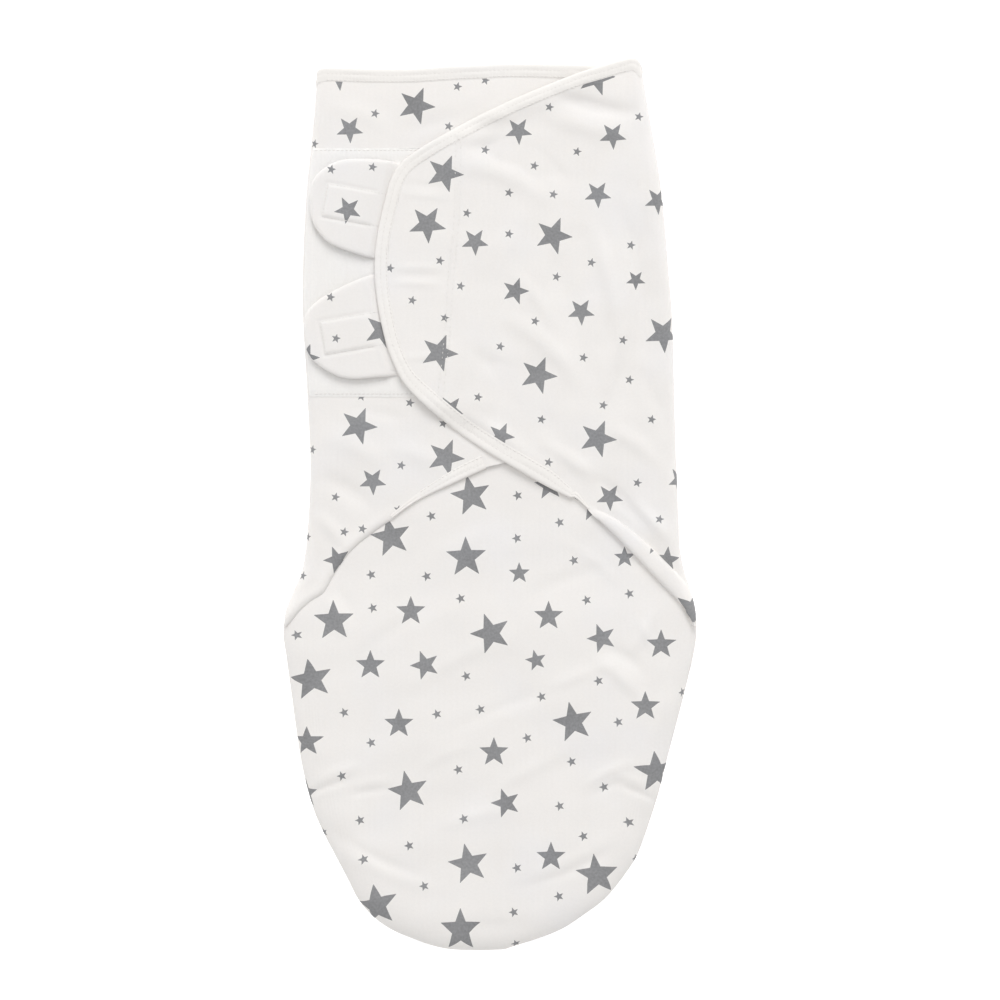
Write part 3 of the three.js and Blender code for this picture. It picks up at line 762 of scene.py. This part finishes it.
def lay_out(obj, flat):
    """Gives a mesh the flat cut's places as its UV map, in metres, so that the knit follows the cloth."""
    layer = obj.data.uv_layers.new(name="flat")
    corner = np.zeros(len(obj.data.loops), np.int32)
    obj.data.loops.foreach_get("vertex_index", corner)
    layer.uv.foreach_set("vector", (flat[corner] * MM).astype(np.float32).ravel())


# Puckers of a tape: one every few stitches, and slower ones.
STITCH_PUCKER = 0.07
PUCKER_STITCHES = 2.1
SLOW_PUCKER = 0.1
SLOW_PUCKER_LENGTH = 5.3


def tape(name, line, shape, material, width=None, step=1.35):
    """A tape folded over the edge of a cloth, with slight puckers between its stitches."""
    stride = max(1, round(step / LINE_STEP))
    points, inward = line.points[::stride], line.inward[::stride]
    share = np.ones(len(points)) if width is None else width(points)
    run = np.arange(len(points)) * step
    pucker = STITCH_PUCKER * np.sin(2 * math.pi * run / STITCH_PITCH / PUCKER_STITCHES)
    pucker = pucker + SLOW_PUCKER * np.sin(run / SLOW_PUCKER_LENGTH)
    rings = []
    flats = []
    for depth, lift, wrinkled in TAPE_PROFILE:
        flat = points + inward * (depth * share)[:, None]
        rings.append(off_cloth(shape, flat, lift + wrinkled * pucker))
        flats.append(flat + [0, depth * 0.01])
    count = len(rings)
    places = np.stack(rings, axis=1).reshape(-1, 3)
    faces = []
    for j in range(len(points) - 1):
        for i in range(count):
            k = (i + 1) % count
            faces.append((j * count + i, (j + 1) * count + i, (j + 1) * count + k, j * count + k))
    last = (len(points) - 1) * count
    faces.append(tuple(range(count)))
    faces.append(tuple(last + i for i in reversed(range(count))))
    obj = piece(name, places, faces, [material])
    lay_out(obj, np.stack(flats, axis=1).reshape(-1, 2))
    return obj


def stitch_places(path, shape, lift, pitch=STITCH_PITCH):
    """Middle and direction of each stitch along a path on a laid cloth."""
    ends = off_cloth(shape, along(path, pitch / 2), lift)
    starts, stops = ends[:-1:2], ends[1::2]
    count = min(len(starts), len(stops))
    return list(zip(starts[:count], stops[:count]))


def stitches(name, rows, material, length=STITCH_LENGTH, radius=STITCH_RADIUS):
    """Short thread loops, all in one mesh."""
    places, faces = [], []
    profile = [(-0.5, 0.35), (-0.3, 0.9), (0, 1), (0.3, 0.9), (0.5, 0.35)]
    sides = 6
    for start, stop in rows:
        middle = (start + stop) / 2
        ahead = (stop - start) / max(np.linalg.norm(stop - start), 1e-9)
        aside = np.cross((0, 0, 1), ahead)
        aside /= max(np.linalg.norm(aside), 1e-9)
        up = np.cross(ahead, aside)
        first = len(places)
        for share, thick in profile:
            sink = -radius * 3 * share * share
            for k in range(sides):
                turn = 2 * math.pi * k / sides
                ring = (aside * math.cos(turn) + up * math.sin(turn)) * radius * thick
                places.append(middle + ahead * share * length + up * sink + ring)
        for j in range(len(profile) - 1):
            for k in range(sides):
                a, b = first + j * sides + k, first + j * sides + (k + 1) % sides
                faces.append((a, b, b + sides, a + sides))
        faces.append([first + k for k in reversed(range(sides))])
        faces.append([first + (len(profile) - 1) * sides + k for k in range(sides)])
    return piece(name, places, faces, [material])


# Materials.
def node_maths(tree, operation, first, second=None, third=None):
    """A maths node. Each value is a number or another node's output."""
    node = tree.nodes.new("ShaderNodeMath")
    node.operation = operation
    for socket, value in zip(node.inputs, (first, second, third)):
        if isinstance(value, (int, float)):
            socket.default_value = value
        elif value is not None:
            tree.links.new(value, socket)
    return node.outputs[0]


def fabric(name, colour, roughness=0.95, sheen=0.1, wale=0.75, course=0.6, relief=0.018,
           mottle_and_loop_shade=0.015, rib=0.0, soft=0.25):
    """Knitted cloth: rows of loops, a slight colour variation that is partly random mottle and partly
    painted shade in the hollows of the loops and ribs, and ribs where it has them.
    """
    material = bpy.data.materials.new(name)
    material.use_nodes = True
    tree = material.node_tree
    shader = tree.nodes["Principled BSDF"]
    shader.inputs["Roughness"].default_value = roughness
    shader.inputs["Sheen Weight"].default_value = sheen
    shader.inputs["Sheen Roughness"].default_value = 0.6
    shader.inputs["Specular IOR Level"].default_value = 0.15
    shader.inputs["Subsurface Weight"].default_value = soft
    shader.inputs["Subsurface Radius"].default_value = (1.0, 0.95, 0.9)
    shader.inputs["Subsurface Scale"].default_value = 1.5 * MM
    flat = tree.nodes.new("ShaderNodeUVMap")
    flat.uv_map = "flat"
    split = tree.nodes.new("ShaderNodeSeparateXYZ")
    tree.links.new(flat.outputs["UV"], split.inputs[0])
    across = node_maths(tree, "MULTIPLY", split.outputs["X"], 2 * math.pi / (wale * MM))
    up = node_maths(tree, "MULTIPLY", split.outputs["Y"], 2 * math.pi / (course * MM))
    column = node_maths(tree, "COSINE", across)
    slant = node_maths(tree, "MULTIPLY_ADD", column, 1.4, up)
    loops = node_maths(tree, "SINE", slant)
    knit = node_maths(tree, "MULTIPLY_ADD", loops, 0.5, column)
    ribs = node_maths(tree, "MULTIPLY", split.outputs["X"], 2 * math.pi / (RIB_PITCH * MM))
    ribs = node_maths(tree, "COSINE", ribs)
    knit = node_maths(tree, "MULTIPLY_ADD", ribs, rib, knit)
    grain = tree.nodes.new("ShaderNodeTexNoise")
    grain.inputs["Scale"].default_value = 650
    grain.inputs["Detail"].default_value = 3
    tree.links.new(flat.outputs["UV"], grain.inputs["Vector"])
    patches = tree.nodes.new("ShaderNodeTexNoise")
    patches.inputs["Scale"].default_value = 28
    patches.inputs["Detail"].default_value = 2
    tree.links.new(flat.outputs["UV"], patches.inputs["Vector"])
    both = node_maths(tree, "ADD", grain.outputs["Fac"], patches.outputs["Fac"])
    # Colour spread: random mottle from grain and patches, plus painted shade that darkens the hollows of
    # the knit's loops and ribs.
    shade = node_maths(tree, "MULTIPLY_ADD", knit, 0.02, both)
    ramp = tree.nodes.new("ShaderNodeMapRange")
    ramp.inputs["From Min"].default_value = 0.6
    ramp.inputs["From Max"].default_value = 1.4
    ramp.inputs["To Min"].default_value = 1 - 2 * mottle_and_loop_shade
    ramp.inputs["To Max"].default_value = 1 + mottle_and_loop_shade
    tree.links.new(shade, ramp.inputs["Value"])
    tone = tree.nodes.new("ShaderNodeTexNoise")
    tone.inputs["Scale"].default_value = 17
    tone.inputs["Detail"].default_value = 1
    tree.links.new(flat.outputs["UV"], tone.inputs["Vector"])
    cool = tree.nodes.new("ShaderNodeMapRange")
    cool.inputs["From Min"].default_value = 0.5
    cool.inputs["From Max"].default_value = 0.7
    tree.links.new(tone.outputs["Fac"], cool.inputs["Value"])
    tones = tree.nodes.new("ShaderNodeMix")
    tones.data_type = "RGBA"
    tones.inputs["A"].default_value = (*colour, 1)
    tones.inputs["B"].default_value = (colour[0] * 0.99, colour[1] * 0.997, colour[2] * 1.014, 1)
    tree.links.new(cool.outputs["Result"], tones.inputs["Factor"])
    tint = tree.nodes.new("ShaderNodeVectorMath")
    tint.operation = "SCALE"
    tree.links.new(tones.outputs["Result"], tint.inputs[0])
    tree.links.new(ramp.outputs["Result"], tint.inputs["Scale"])
    tree.links.new(tint.outputs["Vector"], shader.inputs["Base Color"])
    height = node_maths(tree, "MULTIPLY_ADD", grain.outputs["Fac"], 1.2, knit)
    bump = tree.nodes.new("ShaderNodeBump")
    bump.inputs["Strength"].default_value = 1.0
    bump.inputs["Distance"].default_value = relief * MM
    tree.links.new(height, bump.inputs["Height"])
    tree.links.new(bump.outputs["Normal"], shader.inputs["Normal"])
    return material


WHITE = (0.856, 0.828, 0.802)
star_jersey = fabric("star_jersey", WHITE)
star_print = fabric("star_print", (0.285, 0.286, 0.292), mottle_and_loop_shade=0.14, soft=0)
star_jersey_inside = fabric("star_jersey_inside", (0.80, 0.77, 0.745))
star_print_inside = fabric("star_print_inside", (0.64, 0.63, 0.62))
binding_jersey = fabric("binding_jersey", (0.862, 0.836, 0.806), wale=0.9, relief=0.03, soft=0)
plain_jersey = fabric("plain_jersey", (0.84, 0.815, 0.79))
loop_fabric = fabric("loop_fabric", (0.92, 0.896, 0.868), wale=0.8, relief=0.035, rib=0.8, sheen=0.2)
hook_tape = fabric("hook_tape", (0.85, 0.85, 0.84), roughness=0.6, sheen=0,
                   wale=1.4, course=1.4, relief=0.15)
seam_thread = fabric("seam_thread", (0.83, 0.80, 0.77), roughness=0.8, sheen=0, mottle_and_loop_shade=0.03)
printed_jersey = [star_jersey, star_print, star_jersey_inside, star_print_inside]


def sheet_of(edge, node):
    """Hides the CAD part that a cloth piece stands for. The flat cut's edge is not used."""
    edge = np.asarray(edge) * MM
    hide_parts(node)


def fixed(obj, body, slot, *nodes):
    """A piece that rides on one body."""
    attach(obj, body)
    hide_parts(*nodes)
    return obj


# Back panel with the binding on its neck edge.
BACK_TOP_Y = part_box("back_neck_binding")[1].y / MM
below_neck = outline.points[:, 1] < BACK_TOP_Y - 0.5
back_margin = back_edge(outline.points[:, 1])
back_cut = cut_edge(outline, POUCH_REACH, BACK_RISE, QUARTER_TURN, back_margin)[below_neck]
back_line = along(back_cut, 3.0)
back_stars = scattered(back_line, {}, 11, lambda x, y: True)
back = cloth("back_panel_cloth", back_line, back_shape, printed_jersey, thickness=1.0,
             rings=printed(back_stars, POUCH_LEAN, POUCH_PRINT), spacing=3.2, outward=-1)
back_neck_path = Line(along([back_line[-1] - [1, 0], back_line[0] + [1, 0]]))
BACK_TAPE_RISE = 1.3
back_neck = tape("back_neck_tape", back_neck_path,
                 lambda flat: back_shape(flat) + [0, 0, BACK_TAPE_RISE], binding_jersey)

# Front panel of the pouch, its mouth binding, and the overlocked seam inside.
MOUTH_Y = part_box("pouch_mouth_binding")[1].y / MM
reach, drop, margin = pouch_edge(outline.points[:, 1])
below_mouth = outline.points[:, 1] < MOUTH_Y - 0.5
pouch_line = along(cut_edge(outline, reach, drop, QUARTER_TURN, margin)[below_mouth], step=2.0)
pouch_more = scattered(pouch_line, POUCH_STARS, 12, lambda x, y: y > 22 + abs(x) * 0.2 and y < 70)
pouch_rings = printed(POUCH_STARS, POUCH_LEAN, POUCH_PRINT) + printed(pouch_more, POUCH_LEAN, POUCH_PRINT)
pouch = cloth("pouch_front_cloth", pouch_line, pouch_shape, printed_jersey, rings=pouch_rings, spacing=2.1)
mouth_path = Line(along([pouch_line[-1] - [1.5, 0], pouch_line[0] + [1.5, 0]]))
mouth = tape("pouch_mouth_tape", mouth_path, pouch_shape, binding_jersey)

SEAM_WAVE = 0.25
SEAM_WAVE_TURN = 2.4
SEAM_LIFT = 2.6
SEAM_BELOW_MOUTH = 12
SEAM_DEPTHS = (6.5, 9.5)


def seam_shape(flat):
    """The seam's ribbon stands a little over the back, with the overlock's waves."""
    wave = SEAM_WAVE * np.sin(flat[:, 1] * SEAM_WAVE_TURN + flat[:, 0] * SEAM_WAVE_TURN)
    return off_cloth(back_shape, flat, SEAM_LIFT + wave)


seam_part = outline.points[:, 1] < MOUTH_Y - SEAM_BELOW_MOUTH
seam_outer, seam_inner = (along(outline.shifted(depth)[seam_part], step=1.2) for depth in SEAM_DEPTHS)
seam_line = np.vstack([seam_outer, seam_inner[::-1]])
seam = cloth("pouch_overlock_seam", seam_line, seam_shape, [seam_thread], thickness=0.7, spacing=1.4)

# Left wing: printed cloth, two bindings and the loop landing panel.
left_roll_cut = rolled_edge(left_roll, left_rolled)
left_side_y = left_side.points[:, 1]
left_wall = cut_edge(left_side, WALL_REACH, LEFT_WALL_DROP, wall_turn(left_side_y))
left_wall = left_wall[(left_side_y < NECK_Y - 1.6) & (left_side_y > left_roll_cut[0][1] + CORNER_ROOM)]
left_bound_cut = left_bound.points[left_bound.points[:, 0] > left_roll_cut[-1][0] + 1]
neck_cut = left_neck.points[left_neck.points[:, 0] > left_wall[0][0]]
left_line = along(np.vstack([left_wall, left_roll_cut, left_bound_cut, hidden_rows[:0:-1], neck_cut]), 2.0)
left_more = scattered(left_line, LEFT_WING_STARS, 13, lambda x, y: x > -56 and 78 < y < 225)
left_rings = printed(LEFT_WING_STARS, WING_LEAN) + printed(left_more, WING_LEAN)
left_wing = cloth("left_wing_cloth", left_line, left_wing_shape, printed_jersey,
                  rings=left_rings, spacing=2.1)
left_neck_tape = tape("left_wing_neck_tape", left_neck, left_wing_shape, binding_jersey)

LEFT_END_SHARE = 0.3
LEFT_FULL_X = -8


def left_edge_width(points):
    """The binding narrows towards the rolled part."""
    return mix(LEFT_END_SHARE, 1, smoothstep(points[:, 0], LEFT_TWIST_X - ROLL_LEAD, LEFT_FULL_X))


left_edge_tape = tape("left_wing_edge_tape", left_bound, left_wing_shape, binding_jersey, left_edge_width)

landing_side = left_side.shifted(1.5)
landing_side = landing_side[(landing_side[:, 1] < LANDING_TOP_Y) & (landing_side[:, 1] > LANDING_FOOT_Y)]
landing_corners = [(LANDING_RIGHT_X, LANDING_FOOT_Y), (LANDING_RIGHT_X, LANDING_TOP_Y)]
landing_line = along([*landing_side, *landing_corners], step=1.6)
landing = cloth("landing_cloth", landing_line, landing_shape, [loop_fabric],
                thickness=LANDING_CLOTH, spacing=1.25)

# Right wing: printed cloth, the binding round its free edge, and the backing layer under its tip.
right_roll_cut = rolled_edge(right_roll, right_rolled)
right_side_y = right_side.points[:, 1]
right_wall = cut_edge(right_side, WALL_REACH, RIGHT_WALL_DROP, wall_turn(right_side_y))
above_roll = right_side_y > right_roll_cut[-1][1] + CORNER_ROOM
right_wall = right_wall[(right_side_y < right_bound.points[0][1] - 1) & above_roll]
right_bound_cut = right_bound.points[right_bound.points[:, 1] > right_roll_cut[0][1] + 1]
right_line = along(np.vstack([right_bound_cut, right_roll_cut, right_wall]), 2.0)
right_stars = printed(RIGHT_WING_STARS, WING_LEAN) + [creased(*each) for each in CREASED_STARS]
creased_part = right_roll.points[:, 0] > TWIST_X + 3
crease_line = crease_depth(right_roll.points[:, 0])
creases = []
for off in (-3, -1.5, -0.3, 0.4, 1.8):
    creases.append(along(right_roll.shifted(crease_line + off)[creased_part], step=1.5))
right_wing = cloth("right_wing_cloth", right_line, right_wing_shape, printed_jersey, rings=right_stars,
                   spacing=2.1, creases=creases)

RIGHT_EDGE_SHARE = 0.94
LOWER_EDGE_SHARE = 1.2
EDGE_WIDENS_Y = (-95, -60)
TWIST_SHARE = 0.1
TWIST_BELOW_Y = 40


def right_edge_width(points):
    """The binding is wider below the tabs and narrows to a thread where it turns under the roll."""
    x, y = points.T
    wide = mix(RIGHT_EDGE_SHARE, LOWER_EDGE_SHARE, smoothstep(-y, *EDGE_WIDENS_Y))
    narrowing = mix(1, TWIST_SHARE, smoothstep(x, TWIST_X - 30, TWIST_X + 3))
    return wide * np.where(y < TWIST_BELOW_Y, narrowing, 1)


right_tape = tape("right_wing_edge_tape", right_bound, right_wing_shape, binding_jersey, right_edge_width)


def flat_at(height):
    """The shape of a cloth that lies flat at one height."""
    return lambda flat: np.column_stack([flat, np.full(len(flat), height)])


BACKING_TOP = 15.6
backing_rows = rows_of("tab_backing_panel")
backing_line = along(np.vstack([backing_rows[0], backing_rows[1][::-1]]), step=2.0)
backing = cloth("tab_backing_cloth", backing_line, flat_at(BACKING_TOP), [plain_jersey],
                thickness=0.6, spacing=2.6)


def tape_rows(line, shape, keep, width=None):
    """The stitches of both rows of a tape."""
    rows = []
    share = 1 if width is None else width(line.points)
    for depth in STITCH_ROWS:
        path = line.shifted(depth * share)
        path = path[keep(path)]
        rows += stitch_places(path, shape, STITCH_LIFT)
    return rows


# The stitches end this far before the rolled parts, and at these places along the neck.
RIGHT_ROWS_SHORT = 12
LEFT_ROWS_SHORT = 14
RIGHT_NECK_ROWS_X = 86
LEFT_NECK_ROWS_X = (-103, 50)
LANDING_ROW_IN = 2.2
LANDING_ROW_X = (-110, LANDING_RIGHT_X - 3)


def right_rows_seen(p):
    x, y = p.T
    return ((x < TWIST_X - RIGHT_ROWS_SHORT) | (y > TWIST_BELOW_Y)) & (x < RIGHT_NECK_ROWS_X)


def neck_rows_seen(p):
    return (p[:, 0] > LEFT_NECK_ROWS_X[0]) & (p[:, 0] < LEFT_NECK_ROWS_X[1])


def left_rows_seen(p):
    return p[:, 0] > LEFT_TWIST_X + LEFT_ROWS_SHORT


right_rows_made = tape_rows(right_bound, right_wing_shape, right_rows_seen, right_edge_width)
for aside in (-BACKING_ROW, BACKING_ROW):
    right_rows_made += stitch_places(backing_seam + [aside, 0], right_wing_shape, lift=0.14)
right_stitches = stitches("right_wing_stitches", right_rows_made, seam_thread)

left_rows_made = tape_rows(left_neck, left_wing_shape, neck_rows_seen)
left_rows_made += tape_rows(left_bound, left_wing_shape, left_rows_seen, left_edge_width)
for y in (LANDING_TOP_Y - LANDING_ROW_IN, LANDING_FOOT_Y + LANDING_ROW_IN):
    left_rows_made += stitch_places([(x, y) for x in LANDING_ROW_X], landing_shape, lift=0.1)
left_stitches = stitches("left_wing_stitches", left_rows_made, seam_thread)


# Tabs. A tab's cloth bends in a band that reaches this far in and out from its hinge.
# Reach, drop and turn of a tab's edge, and the distances from the hinge between which it rises.
TAB_EDGE = (2.6, 1.4, 1.6)
TAB_RISES = (-4, 2.5)
TAB_ROOT_TOP = 16.0
LINING_TOPS = (14.9, 16.35)
TAB_PUFF = 0.7
PATCH_PUFF = 0.5
# The hook patch: half its sides, the height of its hooks' middle, their length and pitch, and its stitches.
PATCH_HALF = (17.0, 11.0)
HOOK_TOP = 15.15
HOOK_LENGTH = 0.22
HOOK_PITCH = 1.6
PATCH_ROW_IN = 0.6
PATCH_ROW_PAST = 11
# The sewn-in end: shares of the hinge with distances in from it, and its height.
ROOT_CORNERS = ((0.04, 1.5), (0.96, 1.5), (0.9, 17), (0.1, 17), (0.04, 1.5))
ROOT_TOP = 16.4


def make_tab(name, points, hinge, stars, hook):
    """Outer layer, lining, hook patch, stitches and the sewn-in end of one tab."""
    upper, lower = np.array(hinge, float)
    down = (lower - upper) / np.linalg.norm(lower - upper)
    outward = np.array([down[1], -down[0]])
    edge = Line(smooth(points))
    lean = math.radians(hook["lean"])
    ahead = np.array([math.cos(lean), math.sin(lean)])
    aside = np.array([-ahead[1], ahead[0]])
    centre = np.array(hook["at"], float)
    half = np.array(PATCH_HALF)

    def beyond(flat):
        """Distance outwards from the hinge."""
        return (flat - upper) @ outward

    def in_patch(flat):
        """Distance outside the hook patch's edge, less than nothing inside it."""
        local = np.abs(np.column_stack([(flat - centre) @ ahead, (flat - centre) @ aside])) - half
        return local.max(1)

    def outer_shape(flat):
        out = beyond(flat)
        gap = in_patch(flat)
        puff = TAB_PUFF * smoothstep(out, 0, 14) + PATCH_PUFF * smoothstep(-gap, -0.5, 2.5)
        puff = puff - PATCH_PUFF * np.exp(-((gap / 0.9) ** 2))
        high = mix(TAB_ROOT_TOP, TAB_TOP, smoothstep(out, *TAB_RISES)) + puff * smoothstep(out, 0, 8)
        high = high + ripples(flat, 9) * TAB_RIPPLE_SHARE
        move, fall = fold_down(flat, edge.nearest(flat), *TAB_EDGE)
        return np.column_stack([flat + move, high - fall])

    def lining_shape(flat):
        high = mix(*LINING_TOPS, smoothstep(beyond(flat), *TAB_RISES))
        return np.column_stack([flat, high])

    line = along(cut_edge(edge, *TAB_EDGE), step=1.2)
    outer = cloth(f"{name}_outer_cloth", line, outer_shape, printed_jersey, thickness=TAB_CLOTH,
                  rings=printed(stars, WING_LEAN), spacing=1.2)
    lining_line = along(edge.shifted(0.9), step=1.6)
    lining = cloth(f"{name}_lining_cloth", lining_line, lining_shape, [plain_jersey],
                   thickness=0.5, spacing=2.0)

    corners = [centre + ahead * a * half[0] + aside * b * half[1]
               for a, b in ((-1, -1), (1, -1), (1, 1), (-1, 1))]
    patch_line = along([*corners, corners[0]], step=0.8)[:-1]

    def patch_shape(flat):
        """The hook face looks down: a field of short stiff hooks."""
        local = np.column_stack([(flat - centre) @ ahead, (flat - centre) @ aside])
        turns = local * 2 * math.pi / HOOK_PITCH
        field = np.cos(turns[:, 0]) * np.cos(turns[:, 1])
        return np.column_stack([flat, HOOK_TOP - HOOK_LENGTH * field])

    patch = cloth(f"{name}_hook_patch", patch_line, patch_shape, [hook_tape],
                  thickness=0.55, spacing=0.8, outward=-1)
    near, far = half[0] + PATCH_ROW_PAST, 1 - half[0]
    inner = [centre + ahead * a + aside * b * (half[1] - PATCH_ROW_IN)
             for a, b in ((near, -1), (far, -1), (far, 1), (near, 1))]
    rows = stitch_places(inner, outer_shape, lift=0.05, pitch=2.2)
    thread = stitches(f"{name}_stitches", rows, seam_thread, length=1.6, radius=0.22)

    def root(share, inward):
        return mix(upper, lower, share) - outward * inward

    root_line = along([root(*corner) for corner in ROOT_CORNERS], step=2.0)[:-1]
    anchor = cloth(f"{name}_sewn_end", root_line, flat_at(ROOT_TOP), [plain_jersey],
                   thickness=0.5, spacing=2.6)
    fixed(anchor, "right_wing", "star_jersey", f"{name}_anchor")
    for part in (outer, lining, thread):
        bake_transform(part)
    fixed(patch, name, "hook_tape", f"{name}_hook")
    sheet_of(line, f"{name}_outer")
    sheet_of(lining_line, f"{name}_lining")
    return anchor


upper_anchor = make_tab("upper_tab", UPPER_TAB, UPPER_HINGE, UPPER_TAB_STARS,
                        {"at": (-88, 189.5), "lean": -10})
lower_anchor = make_tab("lower_tab", LOWER_TAB, LOWER_HINGE, LOWER_TAB_STARS,
                        {"at": (-89.5, 108), "lean": 10})

# Which body each piece follows, and which CAD parts it stands for.
fixed(back_neck, "back", "binding_jersey", "back_neck_binding")
fixed(mouth, "back", "binding_jersey", "pouch_mouth_binding")
fixed(seam, "back", "seam_thread", "pouch_seam")
fixed(left_edge_tape, "left_wing", "binding_jersey", "left_wing_edge_binding")
fixed(left_stitches, "left_wing", "seam_thread")
fixed(right_stitches, "right_wing", "seam_thread")
for cloth_piece in (back, pouch):
    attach(cloth_piece, "back")
for cloth_piece in (left_wing, left_neck_tape):
    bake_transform(cloth_piece)
for cloth_piece in (right_wing, right_tape):
    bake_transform(cloth_piece)
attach(landing, "left_wing")
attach(backing, "right_wing")
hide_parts("left_wing_neck_binding")
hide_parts("right_wing_binding")

sheet_of(back_line, "back_panel")
sheet_of(pouch_line, "pouch_front_panel")
sheet_of(left_line, "left_wing_panel")
sheet_of(landing_line, "loop_landing_panel")
sheet_of(right_line, "right_wing_panel")
sheet_of(backing_line, "tab_backing_panel")

# Floor, light and camera.
low, high = cad_box
middle = (low + high) / 2
scene = bpy.context.scene
scene.view_settings.view_transform = "Standard"

floor_mesh = bpy.data.meshes.new("floor")
FLOOR_HALF = 3.0
FLOOR_Z = -0.3 * MM
floor_mesh.from_pydata([(x, y, FLOOR_Z) for x, y in ((-FLOOR_HALF, -FLOOR_HALF), (FLOOR_HALF, -FLOOR_HALF),
                                                     (FLOOR_HALF, FLOOR_HALF), (-FLOOR_HALF, FLOOR_HALF))],
                       [], [(0, 1, 2, 3)])
floor = bpy.data.objects.new("floor", floor_mesh)
scene.collection.objects.link(floor)
floor_paint = bpy.data.materials.new("floor_paint")
floor_paint.use_nodes = True
paint = floor_paint.node_tree.nodes["Principled BSDF"]
paint.inputs["Base Color"].default_value = (0.9, 0.9, 0.9, 1)
paint.inputs["Roughness"].default_value = 1.0
paint.inputs["Specular IOR Level"].default_value = 0.0
paint.inputs["Emission Color"].default_value = (1, 1, 1, 1)
paint.inputs["Emission Strength"].default_value = 0.6
floor_mesh.materials.append(floor_paint)

world = bpy.data.worlds.new("studio")
world.use_nodes = True
world.node_tree.nodes["Background"].inputs["Color"].default_value = (1, 1, 1, 1)
world.node_tree.nodes["Background"].inputs["Strength"].default_value = 0.58
scene.world = world


def softbox(name, place, size, power):
    """A square area light that looks at the middle of the bag."""
    light = bpy.data.lights.new(name, "AREA")
    light.size = size
    light.energy = power
    obj = bpy.data.objects.new(name, light)
    obj.location = place
    obj.rotation_euler = (middle - obj.location).to_track_quat("-Z", "Y").to_euler()
    scene.collection.objects.link(obj)


softbox("head_light", place=(0.8, 6.9, 5.4), size=4.4, power=400)
softbox("top_light", place=(-0.8, 0.2, 5.0), size=2.4, power=50)

LENS = 240
SENSOR = 36
FRAME_WIDTH = 0.632
SILHOUETTE_Z = 0.007
CAMERA_SHIFT_X = 0.0063
CAMERA_SHIFT_Y = 0.0034
camera_data = bpy.data.cameras.new("camera")
camera_data.lens = LENS
camera_data.sensor_width = SENSOR
camera = bpy.data.objects.new("camera", camera_data)
camera_height = SILHOUETTE_Z + FRAME_WIDTH * LENS / SENSOR
camera.location = (middle.x + CAMERA_SHIFT_X, middle.y + CAMERA_SHIFT_Y, camera_height)
scene.collection.objects.link(camera)
scene.camera = camera
